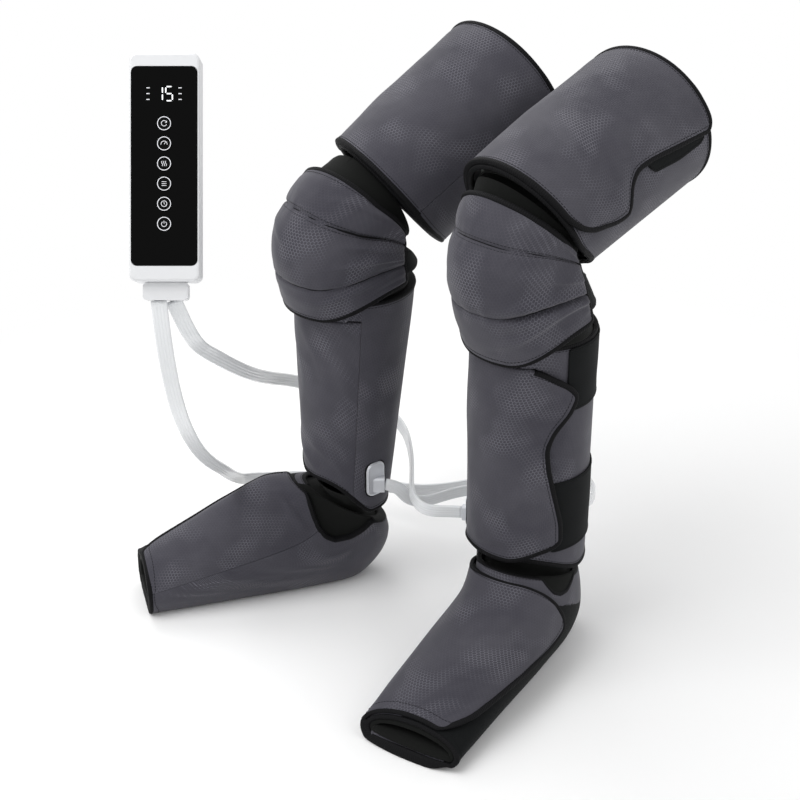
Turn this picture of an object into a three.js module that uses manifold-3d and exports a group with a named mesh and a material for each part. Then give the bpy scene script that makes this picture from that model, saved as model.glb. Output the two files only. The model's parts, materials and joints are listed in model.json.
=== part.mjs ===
// An air compression leg massager: two padded leg wraps, a hand controller and two air hoses.
// Millimetres, +Z up. The wearer sits facing -Y with both soles on z = 0, and +X is the wearer's
// left. The origin is on the floor, midway between the two calves.
import * as THREE from 'three';
import { mergeVertices } from 'three/addons/utils/BufferGeometryUtils.js';
import Module from 'manifold-3d';

const wasm = await Module();
wasm.setup();

const RAD = Math.PI / 180;

// Cloth and foam thicknesses, and the clearances between layers.
const COVER = 4.5; // padded outer cloth
const BLADDER = 5; // flat air bladder
const LINING = 2; // black inner cloth
const FLAP = 5; // closing flap
const HEATER = 2; // knee heating film
const BAND = 1.5; // hook and loop bands and the strap behind the knee
const LAYER_GAP = 0.35; // between nested layers
const FLAP_GAP = 1.6; // under a flap
const FOOT_FLAP_GAP = 2.9; // under the flap of a foot, which bends more
const HEATER_GAP = 1.35; // between the knee cover and the heater
const KNEE_GAP = 1.6; // between the heater and the knee lining

// Depths of the layers below the outer face of a cover.
const BLADDER_OUT = -(COVER + LAYER_GAP);
const BLADDER_IN = BLADDER_OUT - BLADDER;
const LINING_OUT = BLADDER_IN - LAYER_GAP;
const LINING_IN = LINING_OUT - LINING;
const FLAP_OUT = FLAP_GAP + FLAP;
const HEATER_OUT = -(COVER + HEATER_GAP);
const KNEE_LINING_OUT = HEATER_OUT - HEATER - KNEE_GAP;

// How far the inner layers stop short of the edges of a cover.
const BLADDER_MARGIN = 16;
const LINING_MARGIN = 5;
const HEM_MARGIN = 24; // where the ankle gusset takes the place of the calf's inner layers

// Facets round a cover, and round the layers inside it.
const COVER_FACETS = 16;
const INNER_FACETS = 8;
const SAME_DIAGONAL = 1.03; // diagonals this close in length count as the same

// Angles round a leg run from the front, positive to the wearer's outside. Each flap is sewn on
// at its root, and the cover thins out under the flap from the angle `lap`.
const CALF_WRAP = { root: -55, lap: 150 };
const THIGH_WRAP = { root: -80, lap: 150 };
const FOOT_WRAP = { root: -80, lap: 122 };
const LAP_RAMP = 36; // the angle over which a cover thins out
const KNEE_SIDE = 106; // how far the knee cover reaches round, each way

// Each leg as it sits: its calf on a vertical axis, its knee, thigh and foot, from that axis.
const LEGS = {
  right: {
    outward: -1,
    calf: { x: -119, y: -34, low: 128, top: 408, lowRadius: 45, topRadius: 66, lowY: -5, topY: 11 },
    hem: { front: 165, back: 118, turn: 14 },
    knee: { y: 22, z: 478, tilt: 63.2, yaw: 4.1 },
    kneeRings: [
      { at: 0, y: 10, z: 388, tilt: 0, half: 79, front: 85, back: 77 },
      { at: 0.33, y: 9, z: 437, tilt: 5, half: 77, front: 101, back: 66 },
      { at: 0.55, y: 10, z: 460, tilt: 18, half: 76, front: 102, back: 59 },
      { at: 0.78, y: 16, z: 480, tilt: 42, half: 75, front: 88, back: 54 },
      { at: 1, y: 24, z: 494, tilt: 66, half: 74, front: 75, back: 54 },
    ],
    kneeDrop: 0.12,
    liningFrom: 0.1443,
    thigh: { near: 46, far: 258, rise: 4, radius: 79, farRadius: 85, skew: 24, skewAt: -45, under: 10 },
    toeOut: 28.5,
    footRings: [
      [0, -56, 145, 40, 88, 42, 6],
      [0.2, -75, 147, 46, 60, 42, 11],
      [0.36, -97, 145, 38, 30, 42, 15],
      [0.5, -119, 137, 6, 0, 43, 15],
      [0.64, -151, 121, -48, -6, 45, 15],
      [0.8, -197, 96, -150, -6, 46, 15],
      [1, -262, 62, -262, -5, 43, 15],
    ],
    gland: { z: 168, angle: -84, lean: 55 },
  },
  left: {
    outward: 1,
    calf: { x: 119, y: 34, low: 118, top: 414, lowRadius: 67, topRadius: 68, lowY: 0, topY: 0 },
    hem: { front: 140, back: 116, turn: 6 },
    knee: { y: -34, z: 505, tilt: 75.2, yaw: 3.7 },
    kneeRings: [
      { at: 0, y: -3, z: 395, tilt: 0, half: 80, front: 81, back: 78 },
      { at: 0.33, y: -12, z: 455, tilt: 5, half: 77, front: 98, back: 61 },
      { at: 0.55, y: -18, z: 486, tilt: 14, half: 75, front: 99, back: 52 },
      { at: 0.78, y: -25, z: 513, tilt: 30, half: 74, front: 84, back: 50 },
      { at: 1, y: -30, z: 534, tilt: 46, half: 73, front: 71, back: 55 },
    ],
    kneeDrop: 0,
    liningFrom: 0.1092,
    thigh: { near: 18, far: 246, rise: 33, radius: 79, farRadius: 85, skew: 27, skewAt: 20, under: 26 },
    toeOut: 13,
    footRings: [
      [0, -72, 127, 58, 88, 57, 4],
      [0.2, -90, 119, 62, 56, 58, 9],
      [0.36, -108, 109, 58, 20, 59, 12],
      [0.5, -128, 98, 26, -3, 60, 12],
      [0.64, -160, 84, -44, -6, 61, 12],
      [0.8, -208, 64, -168, -6, 61, 12],
      [1, -266, 38, -284, -5, 60, 12],
    ],
    gland: { z: 154, angle: -72, lean: 15 },
  },
};

// The hand controller, in its own frame: x to its right, y up its length, z out of its face.
const CASE = { width: 68, length: 221, depth: 34, wall: 2.2, corner: 7, edge: 2.4, plate: 3.2 };
const PANEL = { width: 64, length: 192.6, thick: 1.4, corner: 6, y: 1 };
const KEY = { diameter: 15, pitch: 19.4, top: 42.1, proud: 0.5, travel: 0.8, flange: 17.4 };
const KEY_NAMES = ['key_mode', 'key_pressure', 'key_heat', 'key_zone', 'key_timer', 'key_power'];
const KEY_FIT = 0.4; // round a key and under the plate
const BOARD = { width: 52, length: 172, thick: 1.6, z: 5, domeTop: 8.2 };
const DISPLAY = { width: 20, length: 24, y: 70.8 };
const PUMP = { diameter: 17, length: 52, y: 60 };
const BATTERY = { width: 40, length: 66, depth: 12, y: -12 };
const VALVE = { width: 34, length: 26, depth: 14, y: -72 };
const STANDOFF = { x: 22.5, y: 78, diameter: 5 };
const SCREW = { x: 25.5, y: 98, head: 5.4, headDepth: 1.8, shaft: 2.6, length: 24, boss: 7 };
const SCREW_FIT = 0.3;
const PLUG = { width: 43.7, length: 17.3, depth: 17, tongueWidth: 34, tongueLength: 8, tongueDepth: 11 };
const CONTROLLER = { x: -35, y: -345, z: 649, azimuth: 46, elevation: 27.5 };

// The plate where a hose enters a calf cover: tall along the leg, with a short socket.
const GLAND = { width: 27, height: 45, thick: 2.4, corner: 10, socket: 12, wall: 2.2, socketY: -9 };

// The flat air hoses. Each route point is x, y, z and then the way its flat side faces.
const HOSE = { width: 16, thick: 4.5, apartX: 14, apartZ: 6.4, step: 31, lead: 14 };
const ROUTES = {
  right: [
    [15.4, -398.2, 494.1, 0.6, -0.6, 0.5],
    [12.5, -392.5, 458.2, 0.6, -0.6, 0.5],
    [-3.7, -373.6, 408.2, 0.6, -0.6, 0.6],
    [-37.2, -337.4, 351.3, 0.5, -0.5, 0.8],
    [-92.4, -278.1, 279.3, 0.4, -0.4, 0.9],
    [-159.7, -201, 204.4, 0.3, -0.3, 0.9],
    [-225, -127, 136, 0.3, -0.3, 0.9],
    [-276, -53, 84, 0.4, -0.2, 0.9],
    [-264, 30, 58, 0.6, -0.3, 0.8],
    [-206, 82, 50, 0.5, -0.8, 0.5],
    [-130, 118, 58, 0.5, -0.9, 0.3],
    [-60, 176, 80, 0.6, -0.8, 0.2],
    [8, 222, 104, 0.3, -1, 0],
    [66, 214, 109, -0.6, -0.8, 0],
    [96, 172, 114, -1, 0, 0],
    [74, 128, 120, -0.7, 0.7, 0],
    [28, 112, 122, -0.4, 0.9, 0],
    [-12, 92, 121, -0.7, 0.7, 0.1],
    [-38, 60, 115, -0.9, 0.3, 0.1],
    [-44, 27, 115, -1, 0.1, 0.1],
    [-48, -2, 128, -0.9, 0.3, 0.1],
  ],
  left: [
    [19, -372, 505, 0.6, -0.6, 0.5],
    [6, -355, 478, 0.6, -0.5, 0.6],
    [-33.2, -308.1, 439, 0.5, -0.4, 0.8],
    [-77.9, -246.5, 388, 0.4, -0.4, 0.9],
    [-133.8, -170.2, 328.9, 0.3, -0.3, 0.9],
    [-196, -88, 272, 0.2, -0.2, 1],
    [-243, -12, 224, 0.4, -0.2, 0.9],
    [-240, 50, 190, 0.8, -0.3, 0.5],
    [-196, 90, 168, 0.3, -0.9, 0.3],
    [-148, 84, 160, -0.4, -0.9, 0.2],
    [-106, 57, 158, -0.6, -0.8, 0.1],
    [-72, 28, 157, -0.6, -0.8, 0.1],
    [-45, 1, 157, -0.6, -0.8, 0.1],
    [-23, -20, 151, -0.3, -1, 0.2],
    [-6, -26, 144, 0, -1, 0.2],
    [8, -20, 142, 0.4, -0.9, 0.1],
  ],
};

function material(color, roughness, metalness = 0) {
  return new THREE.MeshStandardMaterial({ color, roughness, metalness });
}

const cloth = () => material(0x55545b, 0.9);
const liningCloth = () => material(0x1c1d1b, 0.85);
const bladderFilm = () => material(0xb9bdb8, 0.5);
const whitePlastic = () => material(0xeeeeee, 0.35);
const keyPlastic = () => material(0x1a1a1d, 0.3);
const glassPlastic = () => material(0x0a0a0c, 0.12);
const boardResin = () => material(0x1f5a35, 0.6);
const hosePlastic = () => material(0xd9dcdc, 0.4);
const metal = () => material(0x9a9ca0, 0.3, 1);

function mesh(name, geometry, look) {
  const made = new THREE.Mesh(geometry, look);
  made.name = name;
  return made;
}

const blend = (a, b, t) => a + (b - a) * t;

// A smooth step from 0 to 1 as x goes from a to b, either way round.
function ease(x, a, b) {
  const t = Math.min(Math.max((x - a) / (b - a), 0), 1);
  return t * t * (3 - 2 * t);
}

// A smooth ring between the rings of a table: every number in it is a cubic in `at`.
function ringAt(rings, at) {
  let i = 0;
  while (i < rings.length - 2 && at > rings[i + 1].at) i += 1;
  const [a, b] = [rings[i], rings[i + 1]];
  const before = rings[Math.max(i - 1, 0)];
  const after = rings[Math.min(i + 2, rings.length - 1)];
  const span = b.at - a.at;
  const t = (at - a.at) / span;
  const ring = {};
  for (const key of Object.keys(a)) {
    const m0 = ((b[key] - before[key]) / (b.at - before.at)) * span;
    const m1 = ((after[key] - a[key]) / (after.at - a.at)) * span;
    const rise = b[key] - a[key];
    ring[key] = a[key] + m0 * t + (3 * rise - 2 * m0 - m1) * t ** 2 + (m0 + m1 - 2 * rise) * t ** 3;
  }
  return ring;
}

// A ring that passes through a point at its front and one at its back, each given as [y, z].
function ringBetween(at, front, back, half) {
  const rise = [front[0] - back[0], front[1] - back[1]];
  const reach = Math.hypot(...rise) / 2;
  return {
    at,
    y: (front[0] + back[0]) / 2,
    z: (front[1] + back[1]) / 2,
    tilt: Math.atan2(rise[1], -rise[0]) / RAD,
    half,
    front: reach,
    back: reach,
  };
}

// A point on a leg-shaped tube: at a station, an angle from the front and an offset outwards.
// Its stations run up the leg where `runs` is 1 and down to the toes where it is -1.
// A tube with a floor is flattened there, less the offset, so that its layers stay nested.
function surfacePoint(tube, at, angle, offset) {
  const ring = ringAt(tube.rings, at);
  const c = Math.cos(angle * RAD);
  const s = Math.sin(angle * RAD);
  const reach = ((c >= 0 ? ring.front : ring.back) + offset) * c;
  const tilt = ring.tilt * RAD;
  const z = ring.z + Math.sin(tilt) * reach;
  return new THREE.Vector3(
    tube.outward * ((ring.x ?? 0) + (ring.half + offset) * s),
    ring.y - Math.cos(tilt) * reach,
    tube.floor === undefined ? z : Math.max(z, tube.floor - offset),
  );
}

const asFunction = (value) => (typeof value === 'function' ? value : () => value);

// One closed solid: a patch of a tube between the stations `from` and `to`, which may change with
// the angle, and between two offsets. It runs between the angles `start` and `end`, which may
// change along it, or the whole way round through a list of angles.
function patch(tube, shape) {
  const [from, to, start, end] = [shape.from, shape.to, shape.start, shape.end].map(asFunction);
  const faces = [asFunction(shape.outer), asFunction(shape.inner)];
  const { rows, round } = shape;
  const columns = round ? round.length : shape.columns;
  const across = round ? columns : columns + 1;
  const positions = [];
  const middle = [];
  for (const face of faces) {
    for (let i = 0; i <= rows; i += 1) {
      const v = i / rows;
      for (let j = 0; j < across; j += 1) {
        const angle = round ? round[j] : blend(start(v), end(v), j / columns);
        const at = blend(from(angle), to(angle), v);
        positions.push(...surfacePoint(tube, at, angle, face(angle, v)).toArray());
        middle.push(surfacePoint(tube, at, angle, 0));
      }
    }
  }
  const id = (face, i, j) => (face * (rows + 1) + i) * across + (j % across);
  const index = [];
  // A square is split along its shorter diagonal, which lies closer to the round of the tube. It is
  // measured on the tube itself, so that nested layers are split alike.
  const quad = (a, b, c, d) => {
    const first = middle[a].distanceTo(middle[c]);
    const second = middle[b].distanceTo(middle[d]);
    if (first <= second * SAME_DIAGONAL) index.push(a, b, c, a, c, d);
    else index.push(a, b, d, b, c, d);
  };
  for (let j = 0; j < columns; j += 1) {
    for (let i = 0; i < rows; i += 1) {
      quad(id(0, i, j), id(0, i, j + 1), id(0, i + 1, j + 1), id(0, i + 1, j));
      quad(id(1, i, j), id(1, i + 1, j), id(1, i + 1, j + 1), id(1, i, j + 1));
    }
    quad(id(0, 0, j + 1), id(0, 0, j), id(1, 0, j), id(1, 0, j + 1));
    quad(id(0, rows, j), id(0, rows, j + 1), id(1, rows, j + 1), id(1, rows, j));
  }
  for (let i = 0; i < rows && !round; i += 1) {
    quad(id(0, i, 0), id(0, i + 1, 0), id(1, i + 1, 0), id(1, i, 0));
    quad(id(0, i + 1, columns), id(0, i, columns), id(1, i, columns), id(1, i + 1, columns));
  }
  if (tube.outward * tube.runs < 0) index.reverse();
  const geometry = new THREE.BufferGeometry();
  geometry.setAttribute('position', new THREE.Float32BufferAttribute(positions, 3));
  geometry.setIndex(index);
  geometry.computeVertexNormals();
  return geometry;
}

const stepsRound = (root, facets) => Array.from({ length: facets }, (_, j) => root + (360 * j) / facets);

// A padded cover: thick up to the root of its flap, so that the flap lies flush with it, and thin
// where the flap laps over it. The step at the root is one narrow column.
function coverPatch(tube, wrap, shape) {
  const turn = 360 + wrap.root - LAYER_GAP;
  const round = [...stepsRound(wrap.root, COVER_FACETS), turn];
  const outer = (angle) => FLAP_OUT * ease(angle, wrap.lap, wrap.lap + LAP_RAMP);
  return patch(tube, { ...shape, round, outer, inner: -COVER });
}

function innerPatch(tube, wrap, shape) {
  return patch(tube, { ...shape, round: stepsRound(wrap.root, INNER_FACETS) });
}

// The flap lies over the thin part of its cover, from just past its root to its free edge.
function flapPatch(tube, wrap, shape) {
  return patch(tube, { start: wrap.root + LAYER_GAP, outer: FLAP_OUT, inner: FLAP_GAP, ...shape });
}

// A three.js geometry as a manifold solid, and back.
function solid(geometry, x = 0, y = 0, z = 0) {
  const bare = geometry.clone().translate(x, y, z);
  bare.deleteAttribute('normal');
  bare.deleteAttribute('uv');
  const merged = mergeVertices(bare, 1e-4);
  return new wasm.Manifold(new wasm.Mesh({
    numProp: 3,
    vertProperties: new Float32Array(merged.attributes.position.array),
    triVerts: new Uint32Array(merged.index.array),
  }));
}

function fromSolid(made) {
  const out = made.getMesh();
  const geometry = new THREE.BufferGeometry();
  geometry.setAttribute('position', new THREE.Float32BufferAttribute(out.vertProperties, 3));
  geometry.setIndex([...out.triVerts]);
  geometry.computeVertexNormals();
  return geometry;
}

// Solids that stand on z: a post, a block and a slab with round corners and eased upper edges.
function post(diameter, height, x, y, z, facets = diameter > 10 ? 16 : 10) {
  const shape = new THREE.CylinderGeometry(diameter / 2, diameter / 2, height, facets);
  return solid(shape.rotateX(Math.PI / 2), x, y, z + height / 2);
}

function block(width, length, depth, x, y, z) {
  return solid(new THREE.BoxGeometry(width, length, depth), x, y, z + depth / 2);
}

function slab(width, length, depth, corner, x, y, z, edge = 0) {
  const w = width / 2 - edge;
  const l = length / 2 - edge;
  const r = corner - edge;
  const outline = new THREE.Shape();
  outline.absarc(w - r, r - l, r, -Math.PI / 2, 0);
  outline.absarc(w - r, l - r, r, 0, Math.PI / 2);
  outline.absarc(r - w, l - r, r, Math.PI / 2, Math.PI);
  outline.absarc(r - w, r - l, r, Math.PI, 1.5 * Math.PI);
  const bevel = { bevelEnabled: edge > 0, bevelThickness: edge, bevelSize: edge, bevelSegments: 2 };
  const shape = new THREE.ExtrudeGeometry(outline, { depth: depth - edge, curveSegments: 3, ...bevel });
  const made = solid(shape, x, y, z);
  return edge > 0 ? made.intersect(block(width + 2, length + 2, depth, x, y, z)) : made;
}

// The calf: a straight tube that widens upwards, and may lean back.
function calfTube(leg) {
  const { low, top, lowRadius, topRadius, lowY, topY } = leg.calf;
  const ring = (z, y, r) => ({ at: z, y, z, tilt: 0, half: r, front: r, back: r });
  return { outward: leg.outward, runs: 1, rings: [ring(low, lowY, lowRadius), ring(top, topY, topRadius)] };
}

// The thigh: a straight tube along its own z axis, which passes `rise` in front of the knee.
function thighTube(leg) {
  const { near, far, rise, radius, farRadius } = leg.thigh;
  const ring = (z, r) => ({ at: z, y: -rise, z, tilt: 0, half: r, front: r, back: r });
  return { outward: leg.outward, runs: 1, rings: [ring(near, radius), ring(far, farRadius)] };
}

// The near rim of the thigh cover reaches further over the knee on one side, and draws back
// behind it.
function thighRim(leg) {
  const { near, skew, skewAt, under } = leg.thigh;
  return (angle) => near - skew * Math.cos((angle - skewAt) * RAD) + under * ease(Math.cos(angle * RAD), 0, -1);
}

// The knee: rings that turn from the calf to the near rim of the thigh.
function kneeTube(leg) {
  const { y, z, tilt } = leg.knee;
  const turn = tilt * RAD;
  const rim = [0, 180].map((angle) => {
    const p = surfacePoint(thighTube(leg), thighRim(leg)(angle), angle, 0);
    return [y + p.y * Math.cos(turn) + p.z * Math.sin(turn), z - p.y * Math.sin(turn) + p.z * Math.cos(turn)];
  });
  const last = ringBetween(1.4, rim[0], rim[1], leg.thigh.radius);
  return { outward: leg.outward, runs: 1, rings: [...leg.kneeRings, last] };
}

// The foot: rings between a line down the instep and a line round the heel and sole, in a frame
// with its origin on the floor below the calf and its toes towards -y. Each row of its table is
// the station, the y and z on the instep, the y and z on the heel or sole, the half width and how
// far the ring stands off to the outside.
function footTube(leg) {
  const rings = leg.footRings.map(
    ([at, topY, topZ, soleY, soleZ, half, x]) => ({ ...ringBetween(at, [topY, topZ], [soleY, soleZ], half), x }),
  );
  return { outward: leg.outward, runs: -1, rings, floor: FLAP_OUT };
}

// The hem of a calf cover, high over the instep and low behind the ankle.
function calfHem(leg) {
  const { front, back, turn } = leg.hem;
  return (angle) => blend(back, front, ease(Math.cos((angle - turn) * RAD), -0.2, 0.95));
}

// The free edges of the flaps, as an angle for each place along them: they swell and draw in.
const calfFree = (v) => 74 + 15 * Math.cos(8.3 * (v - 0.8));
const thighFree = (v) => 72 + 14 * v + 24 * ease(v, 0.56, 0.24);
const footFree = (v) => 114 - 56 * ease(v, 0.5, 1.05);

function calfParts(name, leg) {
  const tube = calfTube(leg);
  const { top } = leg.calf;
  const hem = calfHem(leg);
  const flapLow = (angle) => hem(0) + 1 + 30 * ease(angle, 20, 80);
  const flapTop = (angle) => top - 24 - 30 * ease(angle, 35, 92);
  const shorter = (low, high) => ({ from: (angle) => hem(angle) + low, to: top - high });
  const bandAt = (label, low, high) => {
    const along = (v) => (blend(low, high, v) - flapLow(80)) / (flapTop(80) - flapLow(80));
    return mesh(`${name}_calf_band_${label}`, patch(tube, {
      from: low,
      to: high,
      start: (v) => calfFree(Math.min(Math.max(along(v), 0), 1)) + 3,
      end: CALF_WRAP.lap - 4,
      outer: LAYER_GAP * 2 + BAND,
      inner: LAYER_GAP * 2,
      rows: 4,
      columns: 6,
    }), liningCloth());
  };
  return [
    mesh(`${name}_calf_cover`, coverPatch(tube, CALF_WRAP, { from: hem, to: top, rows: 5 }), cloth()),
    mesh(`${name}_calf_bladder`, innerPatch(tube, CALF_WRAP, {
      ...shorter(HEM_MARGIN + BLADDER_MARGIN, BLADDER_MARGIN), outer: BLADDER_OUT, inner: BLADDER_IN, rows: 3,
    }), bladderFilm()),
    mesh(`${name}_calf_lining`, innerPatch(tube, CALF_WRAP, {
      ...shorter(HEM_MARGIN, LINING_MARGIN), outer: LINING_OUT, inner: LINING_IN, rows: 3,
    }), liningCloth()),
    mesh(`${name}_calf_flap`, flapPatch(tube, CALF_WRAP, {
      from: flapLow, to: flapTop, end: calfFree, rows: 8, columns: 10,
    }), cloth()),
    bandAt('upper', top - 82, top - 4),
    bandAt('lower', hem(0) + 12, hem(0) + 104),
  ];
}

function thighParts(name, leg) {
  const tube = thighTube(leg);
  const rim = thighRim(leg);
  const { far } = leg.thigh;
  const shorter = (margin) => ({ from: (angle) => rim(angle) + margin, to: far - margin });
  return [
    mesh(`${name}_thigh_cover`, coverPatch(tube, THIGH_WRAP, { from: rim, to: far, rows: 4 }), cloth()),
    mesh(`${name}_thigh_bladder`, innerPatch(tube, THIGH_WRAP, {
      ...shorter(BLADDER_MARGIN), outer: BLADDER_OUT, inner: BLADDER_IN, rows: 3,
    }), bladderFilm()),
    mesh(`${name}_thigh_lining`, innerPatch(tube, THIGH_WRAP, {
      ...shorter(LINING_MARGIN), outer: LINING_OUT, inner: LINING_IN, rows: 3,
    }), liningCloth()),
    mesh(`${name}_thigh_flap`, flapPatch(tube, THIGH_WRAP, {
      from: (angle) => rim(angle) + 1 + 34 * ease(angle, 50, 104), to: far - 1, end: thighFree, rows: 8, columns: 10,
    }), cloth()),
  ];
}

// The knee cover is quilted by two sewn channels and laps over the top of the calf cover.
function kneeParts(name, leg) {
  const tube = kneeTube(leg);
  const low = (angle) => 0.22 * ease(Math.abs(angle), 20, 100);
  const high = (angle) => 1 - leg.kneeDrop * ease(Math.cos(angle * RAD), -0.3, 0.6);
  const quilt = (angle, v) => -2.2 * (Math.exp(-(((v - 0.3) / 0.05) ** 2)) + Math.exp(-(((v - 0.8) / 0.05) ** 2)));
  const side = KNEE_SIDE + LAYER_GAP;
  const { skew, skewAt } = leg.thigh;
  const liningEnd = (angle) => 1.275 - 0.01 * skew * Math.sin(angle * RAD) * Math.sin(skewAt * RAD);
  return [
    mesh(`${name}_knee_cover`, patch(tube, {
      from: low, to: high, start: -KNEE_SIDE, end: KNEE_SIDE, outer: quilt, inner: -COVER, rows: 9, columns: 14,
    }), cloth()),
    mesh(`${name}_knee_heater`, patch(tube, {
      from: 0.36,
      to: 0.86,
      start: -50,
      end: 50,
      outer: HEATER_OUT,
      inner: HEATER_OUT - HEATER,
      rows: 5,
      columns: 6,
    }), keyPlastic()),
    mesh(`${name}_knee_lining`, patch(tube, {
      from: leg.liningFrom,
      to: liningEnd,
      round: stepsRound(0, 12),
      outer: KNEE_LINING_OUT,
      inner: KNEE_LINING_OUT - LINING,
      rows: 7,
    }), liningCloth()),
    mesh(`${name}_knee_strap`, patch(tube, {
      from: 0.34, to: 0.7, start: side, end: 360 - side, outer: -1, inner: -1 - BAND, rows: 3, columns: 8,
    }), liningCloth()),
  ];
}

function footParts(name, leg) {
  const tube = footTube(leg);
  // Past the end of the bladder the lining moves out to the cover, so that the toe stays open.
  const toLining = (offset) => (angle, v) => offset + (BLADDER + LAYER_GAP) * ease(v, 6 / 7, 1);
  return [
    mesh(`${name}_foot_cover`, coverPatch(tube, FOOT_WRAP, { from: 0, to: 1, rows: 8 }), cloth()),
    mesh(`${name}_foot_bladder`, innerPatch(tube, FOOT_WRAP, {
      from: 0.25, to: 0.875, outer: BLADDER_OUT, inner: BLADDER_IN, rows: 5,
    }), bladderFilm()),
    mesh(`${name}_foot_lining`, innerPatch(tube, FOOT_WRAP, {
      from: 0.125, to: 1, outer: toLining(LINING_OUT), inner: toLining(LINING_IN), rows: 7,
    }), liningCloth()),
    mesh(`${name}_foot_flap`, flapPatch(tube, FOOT_WRAP, {
      from: (angle) => 0.125 + 0.375 * ease(angle, 20, 125), to: 1, end: footFree, rows: 7, columns: 12,
      inner: FOOT_FLAP_GAP,
    }), cloth()),
  ];
}

// The black cloth between the calf lining and the foot, inside both covers.
function ankleGusset(name, leg) {
  const hem = calfHem(leg);
  const foot = (at) => ringAt(footTube(leg).rings, at);
  const side = hem(90 + leg.hem.turn);
  const calf = ringAt(calfTube(leg).rings, side);
  const narrow = Math.min(foot(0).half, calf.half - 2) - 3.8;
  const rings = [
    { ...foot(0.1), at: 0 },
    { ...foot(0), at: 0.4, half: narrow, front: narrow, back: narrow, x: foot(0).x / 2 },
    { ...calf, at: 1, z: side + HEM_MARGIN - 7, tilt: 14, x: -0.6, back: calf.back + 0.4 },
  ];
  const outer = -(COVER + 2 * LAYER_GAP + 0.6);
  return mesh(`${name}_ankle_gusset`, patch({ outward: leg.outward, runs: 1, rings }, {
    from: 0, to: 1, round: stepsRound(0, 12), outer, inner: outer - LINING, rows: 3,
  }), liningCloth());
}

// The hose gland, in its own frame: z out of the calf, y up the leg. Its back follows the calf.
function hoseGland(name, leg) {
  const { z, angle } = leg.gland;
  const tube = calfTube(leg);
  const { low, top, lowY, topY } = leg.calf;
  const radius = (at) => ringAt(tube.rings, at).half + FLAP_OUT + LAYER_GAP;
  const reach = GLAND.height;
  const turn = leg.outward * angle * RAD;
  const out = new THREE.Vector3(Math.sin(turn), -Math.cos(turn), 0);
  const up = new THREE.Vector3(0, 0, 1);
  const side = new THREE.Vector3().crossVectors(up, out);
  const leanBack = (topY - lowY) / (top - low);
  const axis = new THREE.Vector3(side.y * leanBack, 1, out.y * leanBack).normalize();
  const tilt = new THREE.Quaternion().setFromUnitVectors(new THREE.Vector3(0, 1, 0), axis);
  const calf = new THREE.CylinderGeometry(radius(z + reach), radius(z - reach), 2 * reach, 40);
  calf.applyQuaternion(tilt);
  const socketWidth = HOSE.thick + 2 * GLAND.wall;
  const socketHeight = HOSE.width + 2 * GLAND.wall;
  const plate = slab(GLAND.width, GLAND.height, GLAND.thick + 4, GLAND.corner, 0, 0, -4, 1);
  const stub = slab(socketWidth, socketHeight, GLAND.socket + 3, 3, 0, 0, -3, 0.8);
  const socket = stub.rotate([0, leg.gland.lean, 0]).translate([0, GLAND.socketY, 0]);
  const made = plate.add(socket).subtract(solid(calf, 0, 0, -radius(z)));
  const gland = mesh(`${name}_hose_gland`, fromSolid(made), metal());
  gland.quaternion.setFromRotationMatrix(new THREE.Matrix4().makeBasis(side, up, out));
  gland.position.copy(out).multiplyScalar(radius(z)).setZ(z);
  gland.position.y += ringAt(tube.rings, z).y;
  return gland;
}

function buildLeg(name, leg) {
  const shank = new THREE.Group();
  shank.position.set(leg.calf.x, leg.calf.y, 0);
  shank.add(...calfParts(name, leg), ...kneeParts(name, leg), hoseGland(name, leg));
  const thigh = new THREE.Group();
  thigh.position.set(0, leg.knee.y, leg.knee.z);
  thigh.rotation.set(-leg.knee.tilt * RAD, 0, leg.outward * leg.knee.yaw * RAD, 'ZXY');
  thigh.add(...thighParts(name, leg));
  const foot = new THREE.Group();
  foot.rotation.z = leg.outward * leg.toeOut * RAD;
  foot.add(...footParts(name, leg), ankleGusset(name, leg));
  shank.add(thigh, foot);
  return shank;
}

// The front and rear casings meet at z = 0 with a seam gap between them.
const FACE = CASE.depth / 2;
const INSIDE = { width: CASE.width - 2 * CASE.wall, length: CASE.length - 2 * CASE.wall };
const REAR_FLOOR = CASE.wall - FACE;
const SEAM = 0.15;

function fourCorners(x, y) {
  return [[x, y], [-x, y], [-x, -y], [x, -y]];
}

const keyPlaces = KEY_NAMES.map((_, i) => KEY.top - KEY.pitch * i);

function plugSlot() {
  const { tongueWidth, tongueDepth } = PLUG;
  const fit = 2 * LAYER_GAP;
  return block(tongueWidth + fit, 2 * CASE.wall + 2, tongueDepth + fit, 0, -CASE.length / 2, -(tongueDepth + fit) / 2);
}

function caseFront() {
  let made = slab(CASE.width, CASE.length, FACE - SEAM, CASE.corner, 0, 0, SEAM, CASE.edge);
  made = made.subtract(slab(INSIDE.width, INSIDE.length, FACE - CASE.plate + 1, CASE.corner - CASE.wall, 0, 0, -1));
  for (const [x, y] of fourCorners(SCREW.x, SCREW.y)) {
    made = made.add(post(SCREW.boss, FACE - CASE.plate + 0.5 - SEAM, x, y, SEAM));
    made = made.subtract(post(SCREW.shaft + 2 * SCREW_FIT, FACE - CASE.plate - 3, x, y, -1));
  }
  const recess = PANEL.thick + LAYER_GAP;
  const fit = 2 * LAYER_GAP;
  made = made.subtract(slab(PANEL.width + fit, PANEL.length + fit, recess + 1, PANEL.corner, 0, PANEL.y, FACE - recess));
  for (const y of keyPlaces) {
    made = made.subtract(post(KEY.diameter + 2 * KEY_FIT, CASE.depth, 0, y, 1));
  }
  const window = block(DISPLAY.width + 1, DISPLAY.length + 1, CASE.depth, 0, DISPLAY.y, 1);
  return made.subtract(window).subtract(plugSlot());
}

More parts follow.
